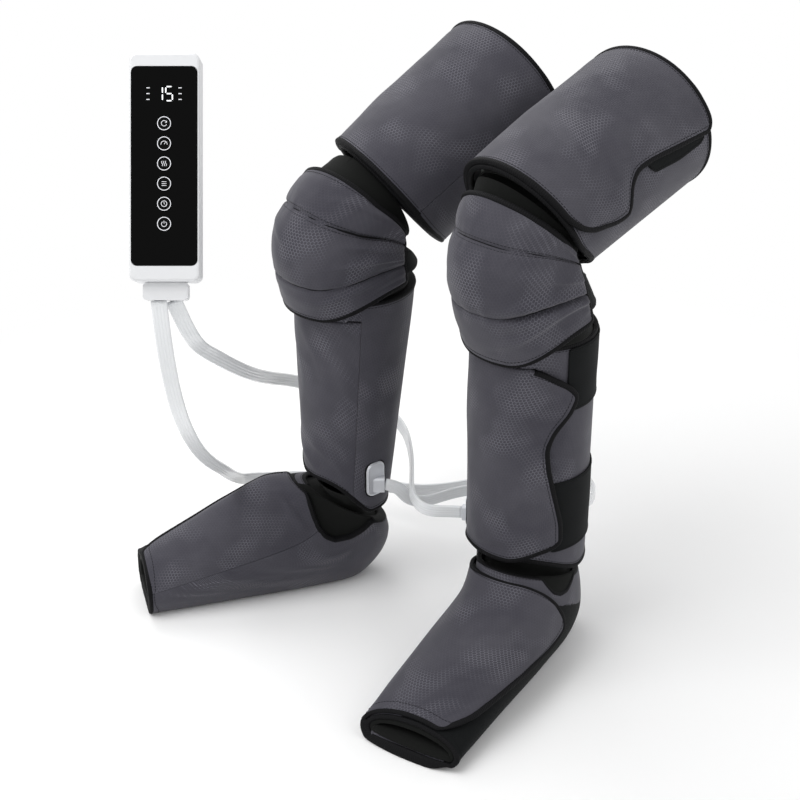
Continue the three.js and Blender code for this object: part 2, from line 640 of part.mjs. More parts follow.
function caseRear() {
  const shell = slab(CASE.width, CASE.length, FACE - SEAM, CASE.corner, 0, 0, SEAM, CASE.edge);
  const inside = slab(INSIDE.width, INSIDE.length, FACE - CASE.wall + 1, CASE.corner - CASE.wall, 0, 0, -1);
  let made = shell.subtract(inside).rotate([0, 180, 0]);
  for (const [x, y] of fourCorners(SCREW.x, SCREW.y)) {
    made = made.add(post(SCREW.boss, -SEAM - REAR_FLOOR + 0.5, x, y, REAR_FLOOR - 0.5));
    made = made.subtract(post(SCREW.shaft + 2 * SCREW_FIT, CASE.depth, x, y, -FACE - 1));
    made = made.subtract(post(SCREW.head + 2 * SCREW_FIT, SCREW.headDepth + SCREW_FIT + 1, x, y, -FACE - 1));
  }
  for (const [x, y] of fourCorners(STANDOFF.x, STANDOFF.y)) {
    made = made.add(post(STANDOFF.diameter, BOARD.z - LAYER_GAP - REAR_FLOOR + 0.5, x, y, REAR_FLOOR - 0.5));
  }
  return made.subtract(plugSlot());
}

function touchPanel() {
  const seat = FACE - PANEL.thick;
  let made = slab(PANEL.width, PANEL.length, PANEL.thick, PANEL.corner, 0, PANEL.y, seat);
  for (const y of keyPlaces) {
    made = made.subtract(post(KEY.diameter + 2 * KEY_FIT, PANEL.thick + 2, 0, y, seat - 1));
  }
  return made;
}

// A key: a cap through the panel, a flange that holds it under the plate and a stem to its dome.
function key(y) {
  const plateUnder = FACE - CASE.plate - KEY_FIT;
  const stemEnd = BOARD.domeTop + KEY.travel + KEY_FIT;
  const profile = [
    [0, stemEnd],
    [2.5, stemEnd],
    [2.5, plateUnder - 1],
    [KEY.flange / 2, plateUnder - 1],
    [KEY.flange / 2, plateUnder],
    [KEY.diameter / 2, plateUnder],
    [KEY.diameter / 2, FACE + KEY.proud - 0.5],
    [KEY.diameter / 2 - 0.5, FACE + KEY.proud],
    [0, FACE + KEY.proud],
  ].map(([r, z]) => new THREE.Vector2(r, z));
  return new THREE.LatheGeometry(profile, 16).rotateX(Math.PI / 2).translate(0, y, 0);
}

function circuitBoard() {
  let made = block(BOARD.width, BOARD.length, BOARD.thick, 0, 0, BOARD.z);
  const face = BOARD.z + BOARD.thick;
  for (const y of keyPlaces) {
    made = made.add(post(7, BOARD.domeTop - face + 0.2, 0, y, face - 0.2));
  }
  const glass = FACE - PANEL.thick - LAYER_GAP - 0.3;
  return made.add(block(DISPLAY.width, DISPLAY.length, glass - face + 0.2, 0, DISPLAY.y, face - 0.2));
}

function airPump() {
  const shape = new THREE.CylinderGeometry(PUMP.diameter / 2, PUMP.diameter / 2, PUMP.length, 20);
  const z = REAR_FLOOR + LAYER_GAP + PUMP.diameter / 2;
  const body = solid(shape, 0, PUMP.y, z);
  const spout = new THREE.CylinderGeometry(2, 2, 10, 12);
  return body.add(solid(spout, 0, PUMP.y - PUMP.length / 2 - 4, z));
}

function valveBlock() {
  const z = REAR_FLOOR + LAYER_GAP;
  let made = slab(VALVE.width, VALVE.length, VALVE.depth, 3, 0, VALVE.y, z);
  for (const x of [-10, 0, 10]) {
    const spout = new THREE.CylinderGeometry(2, 2, 8, 12);
    made = made.add(solid(spout, x, VALVE.y - VALVE.length / 2 - 3, z + VALVE.depth / 2));
  }
  return made;
}

function batteryPack() {
  const z = REAR_FLOOR + LAYER_GAP;
  return slab(BATTERY.width, BATTERY.length, BATTERY.depth, 3, 0, BATTERY.y, z, 1);
}

function caseScrew(x, y) {
  const seat = -FACE + SCREW.headDepth;
  const profile = [
    [0, seat - SCREW.headDepth + SCREW_FIT],
    [SCREW.head / 2, seat - SCREW.headDepth + SCREW_FIT],
    [SCREW.head / 2, seat],
    [SCREW.shaft / 2, seat],
    [SCREW.shaft / 2, seat + SCREW.length - 1.5],
    [0, seat + SCREW.length],
  ].map(([r, z]) => new THREE.Vector2(r, z));
  return new THREE.LatheGeometry(profile, 10).rotateX(Math.PI / 2).translate(x, y, 0);
}

// The plug below the case: a block with a tongue in the slot of the casings.
const PLUG_TOP = -CASE.length / 2 - LAYER_GAP;

function hosePlug() {
  const y = PLUG_TOP - PLUG.length / 2;
  const body = slab(PLUG.width, PLUG.length, PLUG.depth, 4, 0, y, -PLUG.depth / 2);
  const { tongueWidth, tongueLength, tongueDepth } = PLUG;
  return body.add(block(tongueWidth, tongueLength + 4, tongueDepth, 0, PLUG_TOP + tongueLength / 2 - 1, -tongueDepth / 2));
}

function controllerAim() {
  const azimuth = CONTROLLER.azimuth * RAD;
  const elevation = CONTROLLER.elevation * RAD;
  const right = new THREE.Vector3(Math.cos(azimuth), Math.sin(azimuth), 0);
  const out = new THREE.Vector3(
    Math.sin(azimuth) * Math.cos(elevation),
    -Math.cos(azimuth) * Math.cos(elevation),
    Math.sin(elevation),
  );
  const up = new THREE.Vector3().crossVectors(out, right);
  return new THREE.Matrix4().makeBasis(right, up, out);
}

function buildController() {
  const group = new THREE.Group();
  group.position.set(CONTROLLER.x, CONTROLLER.y, CONTROLLER.z);
  group.quaternion.setFromRotationMatrix(controllerAim());
  group.add(
    mesh('case_front', fromSolid(caseFront()), whitePlastic()),
    mesh('case_rear', fromSolid(caseRear()), whitePlastic()),
    mesh('touch_panel', fromSolid(touchPanel()), glassPlastic()),
    mesh('circuit_board', fromSolid(circuitBoard()), boardResin()),
    mesh('air_pump', fromSolid(airPump()), metal()),
    mesh('valve_block', fromSolid(valveBlock()), whitePlastic()),
    mesh('battery_pack', fromSolid(batteryPack()), bladderFilm()),
    mesh('hose_plug', fromSolid(hosePlug()), whitePlastic()),
  );
  KEY_NAMES.forEach((name, i) => group.add(mesh(name, key(keyPlaces[i]), keyPlastic())));
  fourCorners(SCREW.x, SCREW.y).forEach(([x, y], i) => {
    group.add(mesh(`case_screw_${i + 1}`, caseScrew(x, y), metal()));
  });
  return group;
}

// A flat hose's path: its section keeps its flat side towards the facing given along the route.
class RibbonPath extends THREE.CatmullRomCurve3 {
  constructor(points, facings) {
    super(points, false, 'centripetal');
    this.facings = new THREE.CatmullRomCurve3(facings);
  }

  computeFrenetFrames(segments) {
    const frames = { tangents: [], normals: [], binormals: [] };
    for (let i = 0; i <= segments; i += 1) {
      const tangent = this.getTangentAt(i / segments);
      const facing = this.facings.getPoint(this.getUtoTmapping(i / segments));
      const across = new THREE.Vector3().crossVectors(facing, tangent).normalize();
      frames.tangents.push(tangent);
      frames.normals.push(across);
      frames.binormals.push(new THREE.Vector3().crossVectors(tangent, across));
    }
    return frames;
  }
}

// The section of a hose: flat, with eight sides.
function hoseSection() {
  const w = HOSE.width / 2;
  const t = HOSE.thick / 2;
  const ease45 = t * 0.6;
  const corners = [
    [w, -t + ease45], [w, t - ease45], [w - ease45, t], [ease45 - w, t],
    [-w, t - ease45], [-w, ease45 - t], [ease45 - w, -t], [w - ease45, -t],
  ];
  return new THREE.Shape(corners.map(([x, y]) => new THREE.Vector2(x, y)));
}

// A hose leaves the plug square to it, follows its route and meets the socket of its gland.
function hose(name, side, controller, gland) {
  const points = [];
  const facings = [];
  const x = (side * HOSE.apartX) / 2;
  const z = (-side * HOSE.apartZ) / 2;
  const start = PLUG_TOP - PLUG.length - LAYER_GAP;
  const face = new THREE.Vector3(0, 0, 1).transformDirection(controller.matrixWorld);
  for (const y of [start, start - HOSE.lead]) {
    points.push(new THREE.Vector3(x, y, z).applyMatrix4(controller.matrixWorld));
    facings.push(face);
  }
  for (const [px, py, pz, ...facing] of ROUTES[name]) {
    points.push(new THREE.Vector3(px, py, pz));
    facings.push(new THREE.Vector3(...facing).normalize());
  }
  const lean = LEGS[name].gland.lean * RAD;
  const across = new THREE.Vector3(Math.cos(lean), 0, -Math.sin(lean)).transformDirection(gland.matrixWorld);
  for (const out of [GLAND.socket + LAYER_GAP + HOSE.lead, GLAND.socket + LAYER_GAP]) {
    const mouth = new THREE.Vector3(out * Math.sin(lean), GLAND.socketY, out * Math.cos(lean));
    points.push(mouth.applyMatrix4(gland.matrixWorld));
    facings.push(across);
  }
  const path = new RibbonPath(points, facings);
  const length = path.getLength();
  const steps = Math.round(length / HOSE.step);
  console.log(`hose_${name}: ${length.toFixed(0)} mm in ${steps} steps`);
  const shape = new THREE.ExtrudeGeometry(hoseSection(), { steps, extrudePath: path, bevelEnabled: false });
  return mesh(`hose_${name}`, shape, hosePlastic());
}

const part = new THREE.Group();
const legs = Object.entries(LEGS).map(([name, leg]) => buildLeg(name, leg));
const controller = buildController();
part.add(...legs, controller);
part.updateMatrixWorld(true);
part.add(hose('right', -1, controller, part.getObjectByName('right_hose_gland')));
part.add(hose('left', 1, controller, part.getObjectByName('left_hose_gland')));

export default part;
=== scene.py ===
"""Looks of an air compression leg massager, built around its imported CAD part.

Sizes are millimetres up to the point where a mesh is made, and angles are degrees. Each leg has
its own frame: x to the wearer's left, y back and z up, with its origin on the floor below the calf.
"""

import json
import logging
import math
from collections.abc import Callable
from dataclasses import dataclass, field
from enum import Enum

import bmesh
import bpy
import numpy as np
from mathutils import Matrix, Vector

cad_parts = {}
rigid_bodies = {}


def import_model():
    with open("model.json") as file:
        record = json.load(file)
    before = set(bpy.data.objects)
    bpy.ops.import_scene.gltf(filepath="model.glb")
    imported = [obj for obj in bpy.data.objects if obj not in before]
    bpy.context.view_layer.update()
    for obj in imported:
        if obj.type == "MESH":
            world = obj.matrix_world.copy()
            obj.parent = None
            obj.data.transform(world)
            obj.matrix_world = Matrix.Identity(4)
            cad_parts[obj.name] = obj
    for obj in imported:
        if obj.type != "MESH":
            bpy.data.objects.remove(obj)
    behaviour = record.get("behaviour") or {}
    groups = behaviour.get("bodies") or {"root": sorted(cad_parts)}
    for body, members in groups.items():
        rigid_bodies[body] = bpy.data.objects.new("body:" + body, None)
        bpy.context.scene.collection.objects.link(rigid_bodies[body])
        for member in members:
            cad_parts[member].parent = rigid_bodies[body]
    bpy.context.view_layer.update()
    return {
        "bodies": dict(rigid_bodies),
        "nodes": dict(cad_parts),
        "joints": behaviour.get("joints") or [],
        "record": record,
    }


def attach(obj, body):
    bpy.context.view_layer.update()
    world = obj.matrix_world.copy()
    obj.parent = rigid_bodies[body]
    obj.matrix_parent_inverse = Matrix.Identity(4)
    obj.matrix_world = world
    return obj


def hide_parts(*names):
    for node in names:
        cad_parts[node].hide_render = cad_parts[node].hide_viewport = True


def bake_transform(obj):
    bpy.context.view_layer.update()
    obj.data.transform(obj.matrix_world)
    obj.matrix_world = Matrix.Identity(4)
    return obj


LOG = logging.getLogger("leg_massager")
Array = np.ndarray
Curve = Callable[[Array], Array]
MM = 0.001

# Cloth and foam thicknesses and clearances, as in the CAD source.
COVER = 4.5
BLADDER = 5.0
LINING = 2.0
FLAP = 5.0
HEATER = 2.0
BAND = 1.5
LAYER_GAP = 0.35
FLAP_GAP = 1.6
FOOT_FLAP_GAP = 2.9
HEATER_GAP = 1.35
KNEE_GAP = 1.6
BLADDER_OUT = -(COVER + LAYER_GAP)
BLADDER_IN = BLADDER_OUT - BLADDER
LINING_OUT = BLADDER_IN - LAYER_GAP
LINING_IN = LINING_OUT - LINING
FLAP_OUT = FLAP_GAP + FLAP
HEATER_OUT = -(COVER + HEATER_GAP)
KNEE_LINING_OUT = HEATER_OUT - HEATER - KNEE_GAP
BLADDER_MARGIN = 16.0
LINING_MARGIN = 5.0
HEM_MARGIN = 24.0
KNEE_SIDE = 106.0
LAP_RAMP = 36.0
SEAM_GAP = 0.04

# The tape that binds every raw edge, its stitches and the sewn seams.
TAPE_WIDTH = 6.4
TAPE_OVERHANG = 1.2
TAPE_PROUD = 0.95
TAPE_BED = 4.0
TAPE_TUCK = 2.5
STITCH_PITCH = 4.0
STITCH_LENGTH = 2.7
STITCH_RADIUS = 0.32
STITCH_LIFT = 0.12  # above the cloth
TAPE_STITCH = 6.6  # from a taped edge
LOOP_STITCH = 3.0  # from a bare edge of loop cloth
EDGE_ROUND = 2.6  # the largest radius of a rounded edge
EDGE_STEPS = (0.0, 0.25, 0.8, 1.7, 2.8)  # where a rounded edge has its rows
BAND_IN = 2 * LAYER_GAP  # a band's inner face

# Where points are welded, in metres, and the angle past which an edge is sharp.
WELD = 2e-6
SLIVER = 1e-7
SHARP = 55


class Side(Enum):
    """An edge of a patch of cloth."""

    LOW = "low"
    END = "end"
    HIGH = "high"
    START = "start"


def ease(x: Array, a: float, b: float) -> Array:
    """A smooth step.

    Args:
        x: where to take it.
        a: where it is 0.
        b: where it is 1.

    Returns:
        The step's value, from 0 to 1.
    """
    t = np.clip((np.asarray(x, float) - a) / (b - a), 0.0, 1.0)
    return t * t * (3 - 2 * t)


def bump(x: Array, width: float) -> Array:
    """A round bump.

    Args:
        x: distance from its middle.
        width: the distance at which it has fallen to a third.

    Returns:
        Its height, 1 in the middle.
    """
    return np.exp(-((np.asarray(x, float) / width) ** 2))


def noise(x: Array, y: Array, seed: int) -> Array:
    """Smooth noise on a plane.

    Args:
        x: first coordinate, one cell a unit.
        y: second coordinate.
        seed: which noise.

    Returns:
        Values from -1 to 1.
    """
    x, y = np.broadcast_arrays(np.asarray(x, float), np.asarray(y, float))
    column, row = np.floor(x).astype(np.int64), np.floor(y).astype(np.int64)
    fx, fy = x - column, y - row
    fx, fy = fx * fx * (3 - 2 * fx), fy * fy * (3 - 2 * fy)

    def corner(i: Array, j: Array) -> Array:
        """The value at a corner of the cells.

        Args:
            i: its column.
            j: its row.

        Returns:
            Values from -1 to 1.
        """
        n = (i * 374761393 + j * 668265263 + seed * 974634777) & 0xFFFFFFFF
        n = ((n ^ (n >> 13)) * 1274126177) & 0xFFFFFFFF
        return ((n ^ (n >> 16)) & 0xFFFF) / 32767.5 - 1

    low = corner(column, row) * (1 - fx) + corner(column + 1, row) * fx
    high = corner(column, row + 1) * (1 - fx) + corner(column + 1, row + 1) * fx
    return low * (1 - fy) + high * fy


def as_curve(value: float | Curve) -> Curve:
    """A number or a function, as a function of an array.

    Args:
        value: the number or the function.

    Returns:
        The function.
    """
    return value if callable(value) else lambda t: np.full(np.shape(t), float(value))


def drawn(places: list[float], values: list[float]) -> Curve:
    """A smooth curve near a few drawn points.

    Args:
        places: where the points are, rising from 0 to 1.
        values: their values.

    Returns:
        The curve, as a function.
    """
    t = np.linspace(-0.2, 1.2, 281)
    weights = bump(np.linspace(-0.1, 0.1, 41), 0.035)
    rough = np.interp(np.pad(t, 20, mode="edge"), places, values)
    smooth = np.convolve(rough, weights / weights.sum(), mode="valid")
    return lambda x: np.interp(x, t, smooth)


def unit(v: Array) -> Array:
    """Vectors of length 1, along the last axis."""
    return v / np.maximum(np.linalg.norm(v, axis=-1, keepdims=True), 1e-9)


# Shapes


@dataclass(frozen=True, eq=False)
class Tube:
    """A leg-shaped tube: rings of at, y, z, tilt, half width, front, back and sideways shift."""

    rings: Array
    outward: int
    runs: int
    place: Array
    floor: float | None = None

    @property
    def handed(self) -> int:
        """1 where angle, station and the way out turn like x, y and z."""
        return self.outward * self.runs

    def ring_at(self, at: Array) -> Array:
        """Rings between the table's rings, cubic in the station.

        Args:
            at: stations, in one list.

        Returns:
            A row for each station.
        """
        table = self.rings
        i = np.searchsorted(table[1:-1, 0], at, side="left")
        a, b = table[i], table[i + 1]
        before, after = table[np.maximum(i - 1, 0)], table[np.minimum(i + 2, len(table) - 1)]
        span = (b[:, :1] - a[:, :1])
        t = (at[:, None] - a[:, :1]) / span
        m0 = (b - before) / (b[:, :1] - before[:, :1]) * span
        m1 = (after - a) / (after[:, :1] - a[:, :1]) * span
        rise = b - a
        return a + m0 * t + (3 * rise - 2 * m0 - m1) * t**2 + (m0 + m1 - 2 * rise) * t**3

    def points(self, at: Array, angle: Array, offset: Array) -> Array:
        """Points on the tube.

        Args:
            at: stations.
            angle: angles from the front, positive to the wearer's outside.
            offset: distances outwards.

        Returns:
            Points in the part's frame, in millimetres, with x, y and z on the last axis.
        """
        at, angle, offset = np.broadcast_arrays(
            *(np.asarray(value, float) for value in (at, angle, offset))
        )
        shape = at.shape
        _, y, z, tilt, half, front, back, shift = self.ring_at(at.ravel()).T
        c, s = np.cos(np.radians(angle.ravel())), np.sin(np.radians(angle.ravel()))
        out = offset.ravel()
        reach = (np.where(c >= 0, front, back) + out) * c
        z = z + np.sin(np.radians(tilt)) * reach
        if self.floor is not None:
            z = np.maximum(z, self.floor - out)
        x = self.outward * (shift + (half + out) * s)
        local = np.stack([x, y - np.cos(np.radians(tilt)) * reach, z], axis=1)
        return (local @ self.place[:3, :3].T + self.place[:3, 3]).reshape(*shape, 3)

    def spine(self, first: float, last: float) -> tuple[Array, Array]:
        """The middle of the tube at two stations.

        Args:
            first: the first station.
            last: the second one.

        Returns:
            The two points, in metres.
        """
        front, back = (self.points([first, last], [angle] * 2, 0.0) for angle in (0.0, 180.0))
        middle = (front + back) / 2 * MM
        return middle[0], middle[1]


@dataclass
class Spots:
    """Places on a patch: across and along it, as shares and in millimetres, and on its tube."""

    u: Array
    v: Array
    x: Array
    y: Array
    at: Array
    angle: Array
    rim: Array


Relief = Callable[[Spots], Array]


@dataclass
class Patch:
    """A sewn piece on a tube, between two stations, two angles and two offsets."""

    tube: Tube
    low: float | Curve
    high: float | Curve
    outer: float | Curve
    inner: float | Curve
    start: float | Curve = 0.0
    end: float | Curve = 360.0
    closed: bool = False
    corner: float = 0.0
    relief: Relief | None = None
    sewn: bool = False  # its start edge is sewn on: square, bare and flush with its neighbour
    dark: Callable[[Array, Array], Array] | None = None  # where, by angle and station, it is loop cloth
    size: tuple[float, float] = field(init=False)

    def __post_init__(self) -> None:
        """Measures the patch across and along its middle, before its corners are rounded."""
        self.size = (1e9, 1e9)
        t = np.linspace(0, 1, 60)
        half = np.full(60, 0.5)
        across = self.tube.points(*self.on_tube(t, half), 0.0)
        along = self.tube.points(*self.on_tube(half, t), 0.0)
        lengths = [np.linalg.norm(np.diff(line, axis=0), axis=1).sum() for line in (across, along)]
        self.size = (float(lengths[0]), float(lengths[1]))

    def on_tube(self, u: Array, v: Array) -> tuple[Array, Array]:
        """The station and the angle of a place, with the corners of an open patch rounded.

        Args:
            u: share across.
            v: share along.

        Returns:
            Stations and angles.
        """
        u, v = np.asarray(u, float), np.asarray(v, float)
        if self.corner and not self.closed:
            ru, rv = self.corner / self.size[0], self.corner / self.size[1]
            du, dv = np.minimum(u, 1 - u), np.minimum(v, 1 - v)
            a, b = np.clip(1 - du / ru, 0, 1), np.clip(1 - dv / rv, 0, 1)
            if self.sewn:
                a, b = np.where(u < 0.5, 0.0, a), np.where(u < 0.5, 0.0, b)
            moved_u = ru * (a - a * np.sqrt(1 - b * b / 2))
            moved_v = rv * (b - b * np.sqrt(1 - a * a / 2))
            u = np.where(u < 0.5, u + moved_u, u - moved_u)
            v = np.where(v < 0.5, v + moved_v, v - moved_v)
        first, last = as_curve(self.start)(v), as_curve(self.end)(v)
        angle = first + (last - first) * u
        low, high = as_curve(self.low)(angle), as_curve(self.high)(angle)
        return low + (high - low) * v, angle

    def spots(self, u: Array, v: Array) -> Spots:
        """Everything known about places on the patch.

        Args:
            u: share across.
            v: share along.

        Returns:
            The places.
        """
        u, v = np.broadcast_arrays(np.asarray(u, float), np.asarray(v, float))
        width, height = self.size
        at, angle = self.on_tube(u, v)
        rim = np.minimum(v, 1 - v) * height
        if not self.closed:
            rim = np.minimum(rim, (1 - u) * width)
        if not self.closed and not self.sewn:
            rim = np.minimum(rim, u * width)
        return Spots(u, v, u * width, v * height, at, angle, rim)

    def offsets(self, spots: Spots, rounded: bool = True) -> tuple[Array, Array]:
        """The outer and inner offsets at some places.

        Args:
            spots: the places.
            rounded: whether the edges are rounded.

        Returns:
            The two offsets.
        """
        out = as_curve(self.outer)(spots.angle) + (self.relief(spots) if self.relief else 0.0)
        back = as_curve(self.inner)(spots.angle) + np.zeros_like(out)
        radius = np.minimum((out - back) / 2, EDGE_ROUND)
        left = 1 - np.clip(spots.rim / radius, 0, 1) if rounded else np.zeros_like(radius)
        taken = radius * (1 - np.sqrt(np.maximum(1 - left * left, 0)))
        return out - taken, back + taken

    def face(self, u: Array, v: Array, above: float = 0.0) -> Array:
        """Points on the outer face.

        Args:
            u: share across.
            v: share along.
            above: how far above the face.

        Returns:
            Points in millimetres.
        """
        spots = self.spots(u, v)
        return self.tube.points(spots.at, spots.angle, self.offsets(spots)[0] + above)

    def steps(self, length: float, step: float, bare: bool) -> Array:
        """Shares along one side, closer together where an edge is rounded.

        Args:
            length: the side's length.
            step: the distance between plain steps.
            bare: whether the side runs between two edges.

        Returns:
            Shares from 0 to 1.
        """
        count = max(int(round(length / step)), 6)
        plain = np.linspace(0, 1, count + 1)
        if not bare:
            return plain
        near = np.array(EDGE_STEPS) / length
        middle = plain[(plain > near[-1] * 1.4) & (plain < 1 - near[-1] * 1.4)]
        return np.concatenate([near, middle, 1 - near[::-1]])

    def build(self, name: str, finish: "Finish", step: float = 3.0) -> bpy.types.Object:
        """Makes the piece as a closed shell.

        Args:
            name: the object's name.
            finish: its material.
            step: the distance between its vertices.

        Returns:
            The object.
        """
        width, height = self.size
        us, vs = self.steps(width, step, not self.closed), self.steps(height, step, True)
        if self.closed:
            us = np.insert(us, len(us) - 1, 1 - 0.03 / width)
        spots = self.spots(us[None, :], vs[:, None])
        out, back = self.offsets(spots)
        keep = len(us) - 1 if self.closed else len(us)
        layers = [self.tube.points(spots.at, spots.angle, o)[:, :keep] for o in (out, back)]
        points = np.concatenate([layer.reshape(-1, 3) for layer in layers])
        rows, count = len(vs), len(us) - 1
        ids = np.arange(rows * keep).reshape(rows, keep)
        ids = np.concatenate([ids, ids[:, :1]], axis=1) if self.closed else ids
        uvs = self.pattern(self.tube.points(spots.at, spots.angle, out.mean()))

        def quads(i: slice, j: slice, i2: slice, j2: slice) -> tuple[Array, Array]:
            """Squares between some rows and columns and the next ones.

            Args:
                i: the rows.
                j: the columns.
                i2: the next rows.
                j2: the next columns.

            Returns:
                Their corner numbers and pattern places.
            """
            corners = [(i, j), (i, j2), (i2, j2), (i2, j)]
            return (
                np.stack([ids[c] for c in corners], axis=2).reshape(-1, 4),
                np.stack([uvs[c] for c in corners], axis=2).reshape(-1, 4, 2),
            )

        front, front_uv = quads(slice(0, -1), slice(0, count), slice(1, None), slice(1, count + 1))
        faces = [front, front[:, ::-1] + rows * keep]
        places = [front_uv, front_uv[:, ::-1]]
        turn = rows * keep
        walls = [(ids[0, :-1], ids[0, 1:], uvs[0, :-1]), (ids[-1, 1:], ids[-1, :-1], uvs[-1, 1:])]
        if not self.closed:
            walls.append((ids[1:, 0], ids[:-1, 0], uvs[1:, 0]))
            walls.append((ids[:-1, -1], ids[1:, -1], uvs[:-1, -1]))
        for a, b, place in walls:
            faces.append(np.stack([b, a, a + turn, b + turn], axis=1))
            places.append(np.repeat(place[:, None, :], 4, axis=1))
        faces, places = np.concatenate(faces), np.concatenate(places)
        if self.tube.handed < 0:
            faces, places = faces[:, ::-1], places[:, ::-1]
        chosen, finishes = np.zeros(len(faces), np.int32), [finish]
        if self.dark:
            here = self.dark(spots.angle[:-1, :-1], spots.at[:-1, :-1]).ravel()
            chosen[: 2 * len(here)] = np.tile(here, 2)
            finishes.append(LOOP_CLOTH)
        return closed_mesh(name, points, faces, places, finishes, chosen)

    def pattern(self, skin: Array) -> Array:
        """Lays the cloth's pattern by real lengths, so that it keeps its scale where the tube narrows.

        Args:
            skin: rows of points on the cloth.

        Returns:
            A place on the pattern for each point, in millimetres.
        """
        rise, reach = (np.linalg.norm(np.diff(skin, axis=a), axis=2) for a in (0, 1))
        across = np.pad(np.cumsum(reach, axis=1), ((0, 0), (1, 0)))
        across = across - across[:, skin.shape[1] // 2][:, None] + self.size[0] / 2
        return np.stack([across, np.pad(np.cumsum(rise, axis=0), ((1, 0), (0, 0)))], axis=2)

    def edge(
        self, sides: list[Side], inset: float = 0.0, step: float = 3.0, last: float = 1.0
    ) -> tuple[Array, Array]:
        """A path along some edges, in the order low, end, high, start.

        Args:
            sides: the edges.
            inset: how far inside them it runs.
            step: the distance between its points.
            last: how much of the last edge it follows.

        Returns:
            Shares across and along.
        """
        width, height = self.size
        iu, iv = (0.0 if self.closed else inset / width), inset / height
        runs = {
            Side.LOW: ((iu, iv), (1 - iu, iv), width),
            Side.END: ((1 - iu, iv), (1 - iu, 1 - iv), height),
            Side.HIGH: ((1 - iu, 1 - iv), (iu, 1 - iv), width),
            Side.START: ((iu, 1 - iv), (iu, iv), height),
        }
        us, vs = [], []
        for side in sides:
            (u0, v0), (u1, v1), length = runs[side]
            if side is sides[-1]:
                u1, v1, length = u0 + (u1 - u0) * last, v0 + (v1 - v0) * last, length * last
            t = np.linspace(0, 1, max(int(length / step), 4) + 1)[:-1]
            us.append(u0 + (u1 - u0) * t)
            vs.append(v0 + (v1 - v0) * t)
        us.append(np.array([u1]))
        vs.append(np.array([v1]))
        return np.concatenate(us), np.concatenate(vs)

    def tape(
        self, name: str, sides: list[Side], finish: "Finish", last: float = 1.0
    ) -> bpy.types.Object:
        """The binding tape folded over some edges.

        Args:
            name: the object's name.
            sides: the edges, in order.
            finish: its material.
            last: how much of the last edge it covers.

        Returns:
            The object.
        """
        loop = self.closed or len(sides) == len(Side)
        u, v = self.edge(sides, last=last)
        if loop:
            u, v = u[:-1], v[:-1]
        elif self.sewn:
            # It runs a little past the root, under its neighbour's tape.
            u, v = np.insert(u, 0, u[0] - TAPE_TUCK / self.size[0]), np.insert(v, 0, v[0])
            if last == 1.0:
                u, v = np.append(u, u[-1] - TAPE_TUCK / self.size[0]), np.append(v, v[-1])
        spots = self.spots(u, v)
        out, back = self.offsets(self.spots(np.clip(u, 0, 1), v), rounded=False)
        middle = (out + back) / 2
        centres = self.tube.points(spots.at, spots.angle, middle)
        normals = unit(self.tube.points(spots.at, spots.angle, middle + 1) - centres)
        tangents = unit(slope(centres, loop))
        sides_out = unit(np.cross(tangents, normals)) * self.tube.handed
        swell = 1 + 0.06 * noise(np.arange(len(u)) / 4.0, 0.0, len(name))
        section = superellipse(TAPE_WIDTH / 2, 1.0, 3.0, 14)
        sections = np.repeat(section[None], len(u), axis=0)
        sections[:, :, 0] = sections[:, :, 0] * swell[:, None] + TAPE_OVERHANG - TAPE_WIDTH / 2
        sections[:, :, 1] *= ((out - back) / 2 + TAPE_PROUD * swell)[:, None]
        return sweep(name, centres, sides_out, normals, sections, loop, finish)


def slope(points: Array, loop: bool) -> Array:
    """The direction of a line at each of its points.

    Args:
        points: the line.
        loop: whether it closes on itself.

    Returns:
        A vector for each point.
    """
    if loop:
        return np.roll(points, -1, axis=0) - np.roll(points, 1, axis=0)
    return np.gradient(points, axis=0)


def superellipse(a: float, b: float, power: float, count: int) -> Array:
    """A round-cornered section.

    Args:
        a: half its width.
        b: half its height.
        power: 2 for an ellipse, more for squarer corners.
        count: how many points.

    Returns:
        Its points, anticlockwise.
    """
    t = np.linspace(0, 2 * np.pi, count, endpoint=False) + np.pi / count
    c, s = np.cos(t), np.sin(t)
    x = np.sign(c) * np.abs(c) ** (2 / power) * a
    return np.stack([x, np.sign(s) * np.abs(s) ** (2 / power) * b], axis=1)


def linked(name: str, data: bpy.types.ID) -> bpy.types.Object:
    """Makes an object in the scene.

    Args:
        name: its name.
        data: its mesh, curve, lamp or camera.

    Returns:
        The object.
    """
    made = bpy.data.objects.new(name, data)
    bpy.context.scene.collection.objects.link(made)
    return made


def closed_mesh(
    name: str, points: Array, faces: Array, places: Array, finishes: list["Finish"],
    chosen: Array | None = None,
) -> bpy.types.Object:
    """Makes an object from points and squares, with its doubles merged.

    Args:
        name: the object's name.
        points: its points, in millimetres.
        faces: corner numbers, four a face.
        places: a pattern place for each corner, in millimetres.
        finishes: its materials.
        chosen: which of them each face has, where there is more than one.

    Returns:
        The object, linked to the scene.
    """
    mesh = bpy.data.meshes.new(name)
    points = np.column_stack([points[:, :2], np.maximum(points[:, 2], 0.0)])
    mesh.from_pydata((points * MM).tolist(), [], faces.tolist())
    if chosen is not None:
        mesh.polygons.foreach_set("material_index", chosen)
    layer = mesh.uv_layers.new(name="cloth")
    layer.data.foreach_set("uv", (places.reshape(-1) * MM).astype(np.float32))
    shape = bmesh.new()
    shape.from_mesh(mesh)
    bmesh.ops.remove_doubles(shape, verts=shape.verts, dist=WELD)
    bmesh.ops.dissolve_degenerate(shape, edges=shape.edges, dist=SLIVER)
    shape.to_mesh(mesh)
    shape.free()
    mesh.shade_smooth()
    mesh.set_sharp_from_angle(angle=math.radians(SHARP))
    for finish in finishes:
        mesh.materials.append(finish.material())
    return linked(name, mesh)


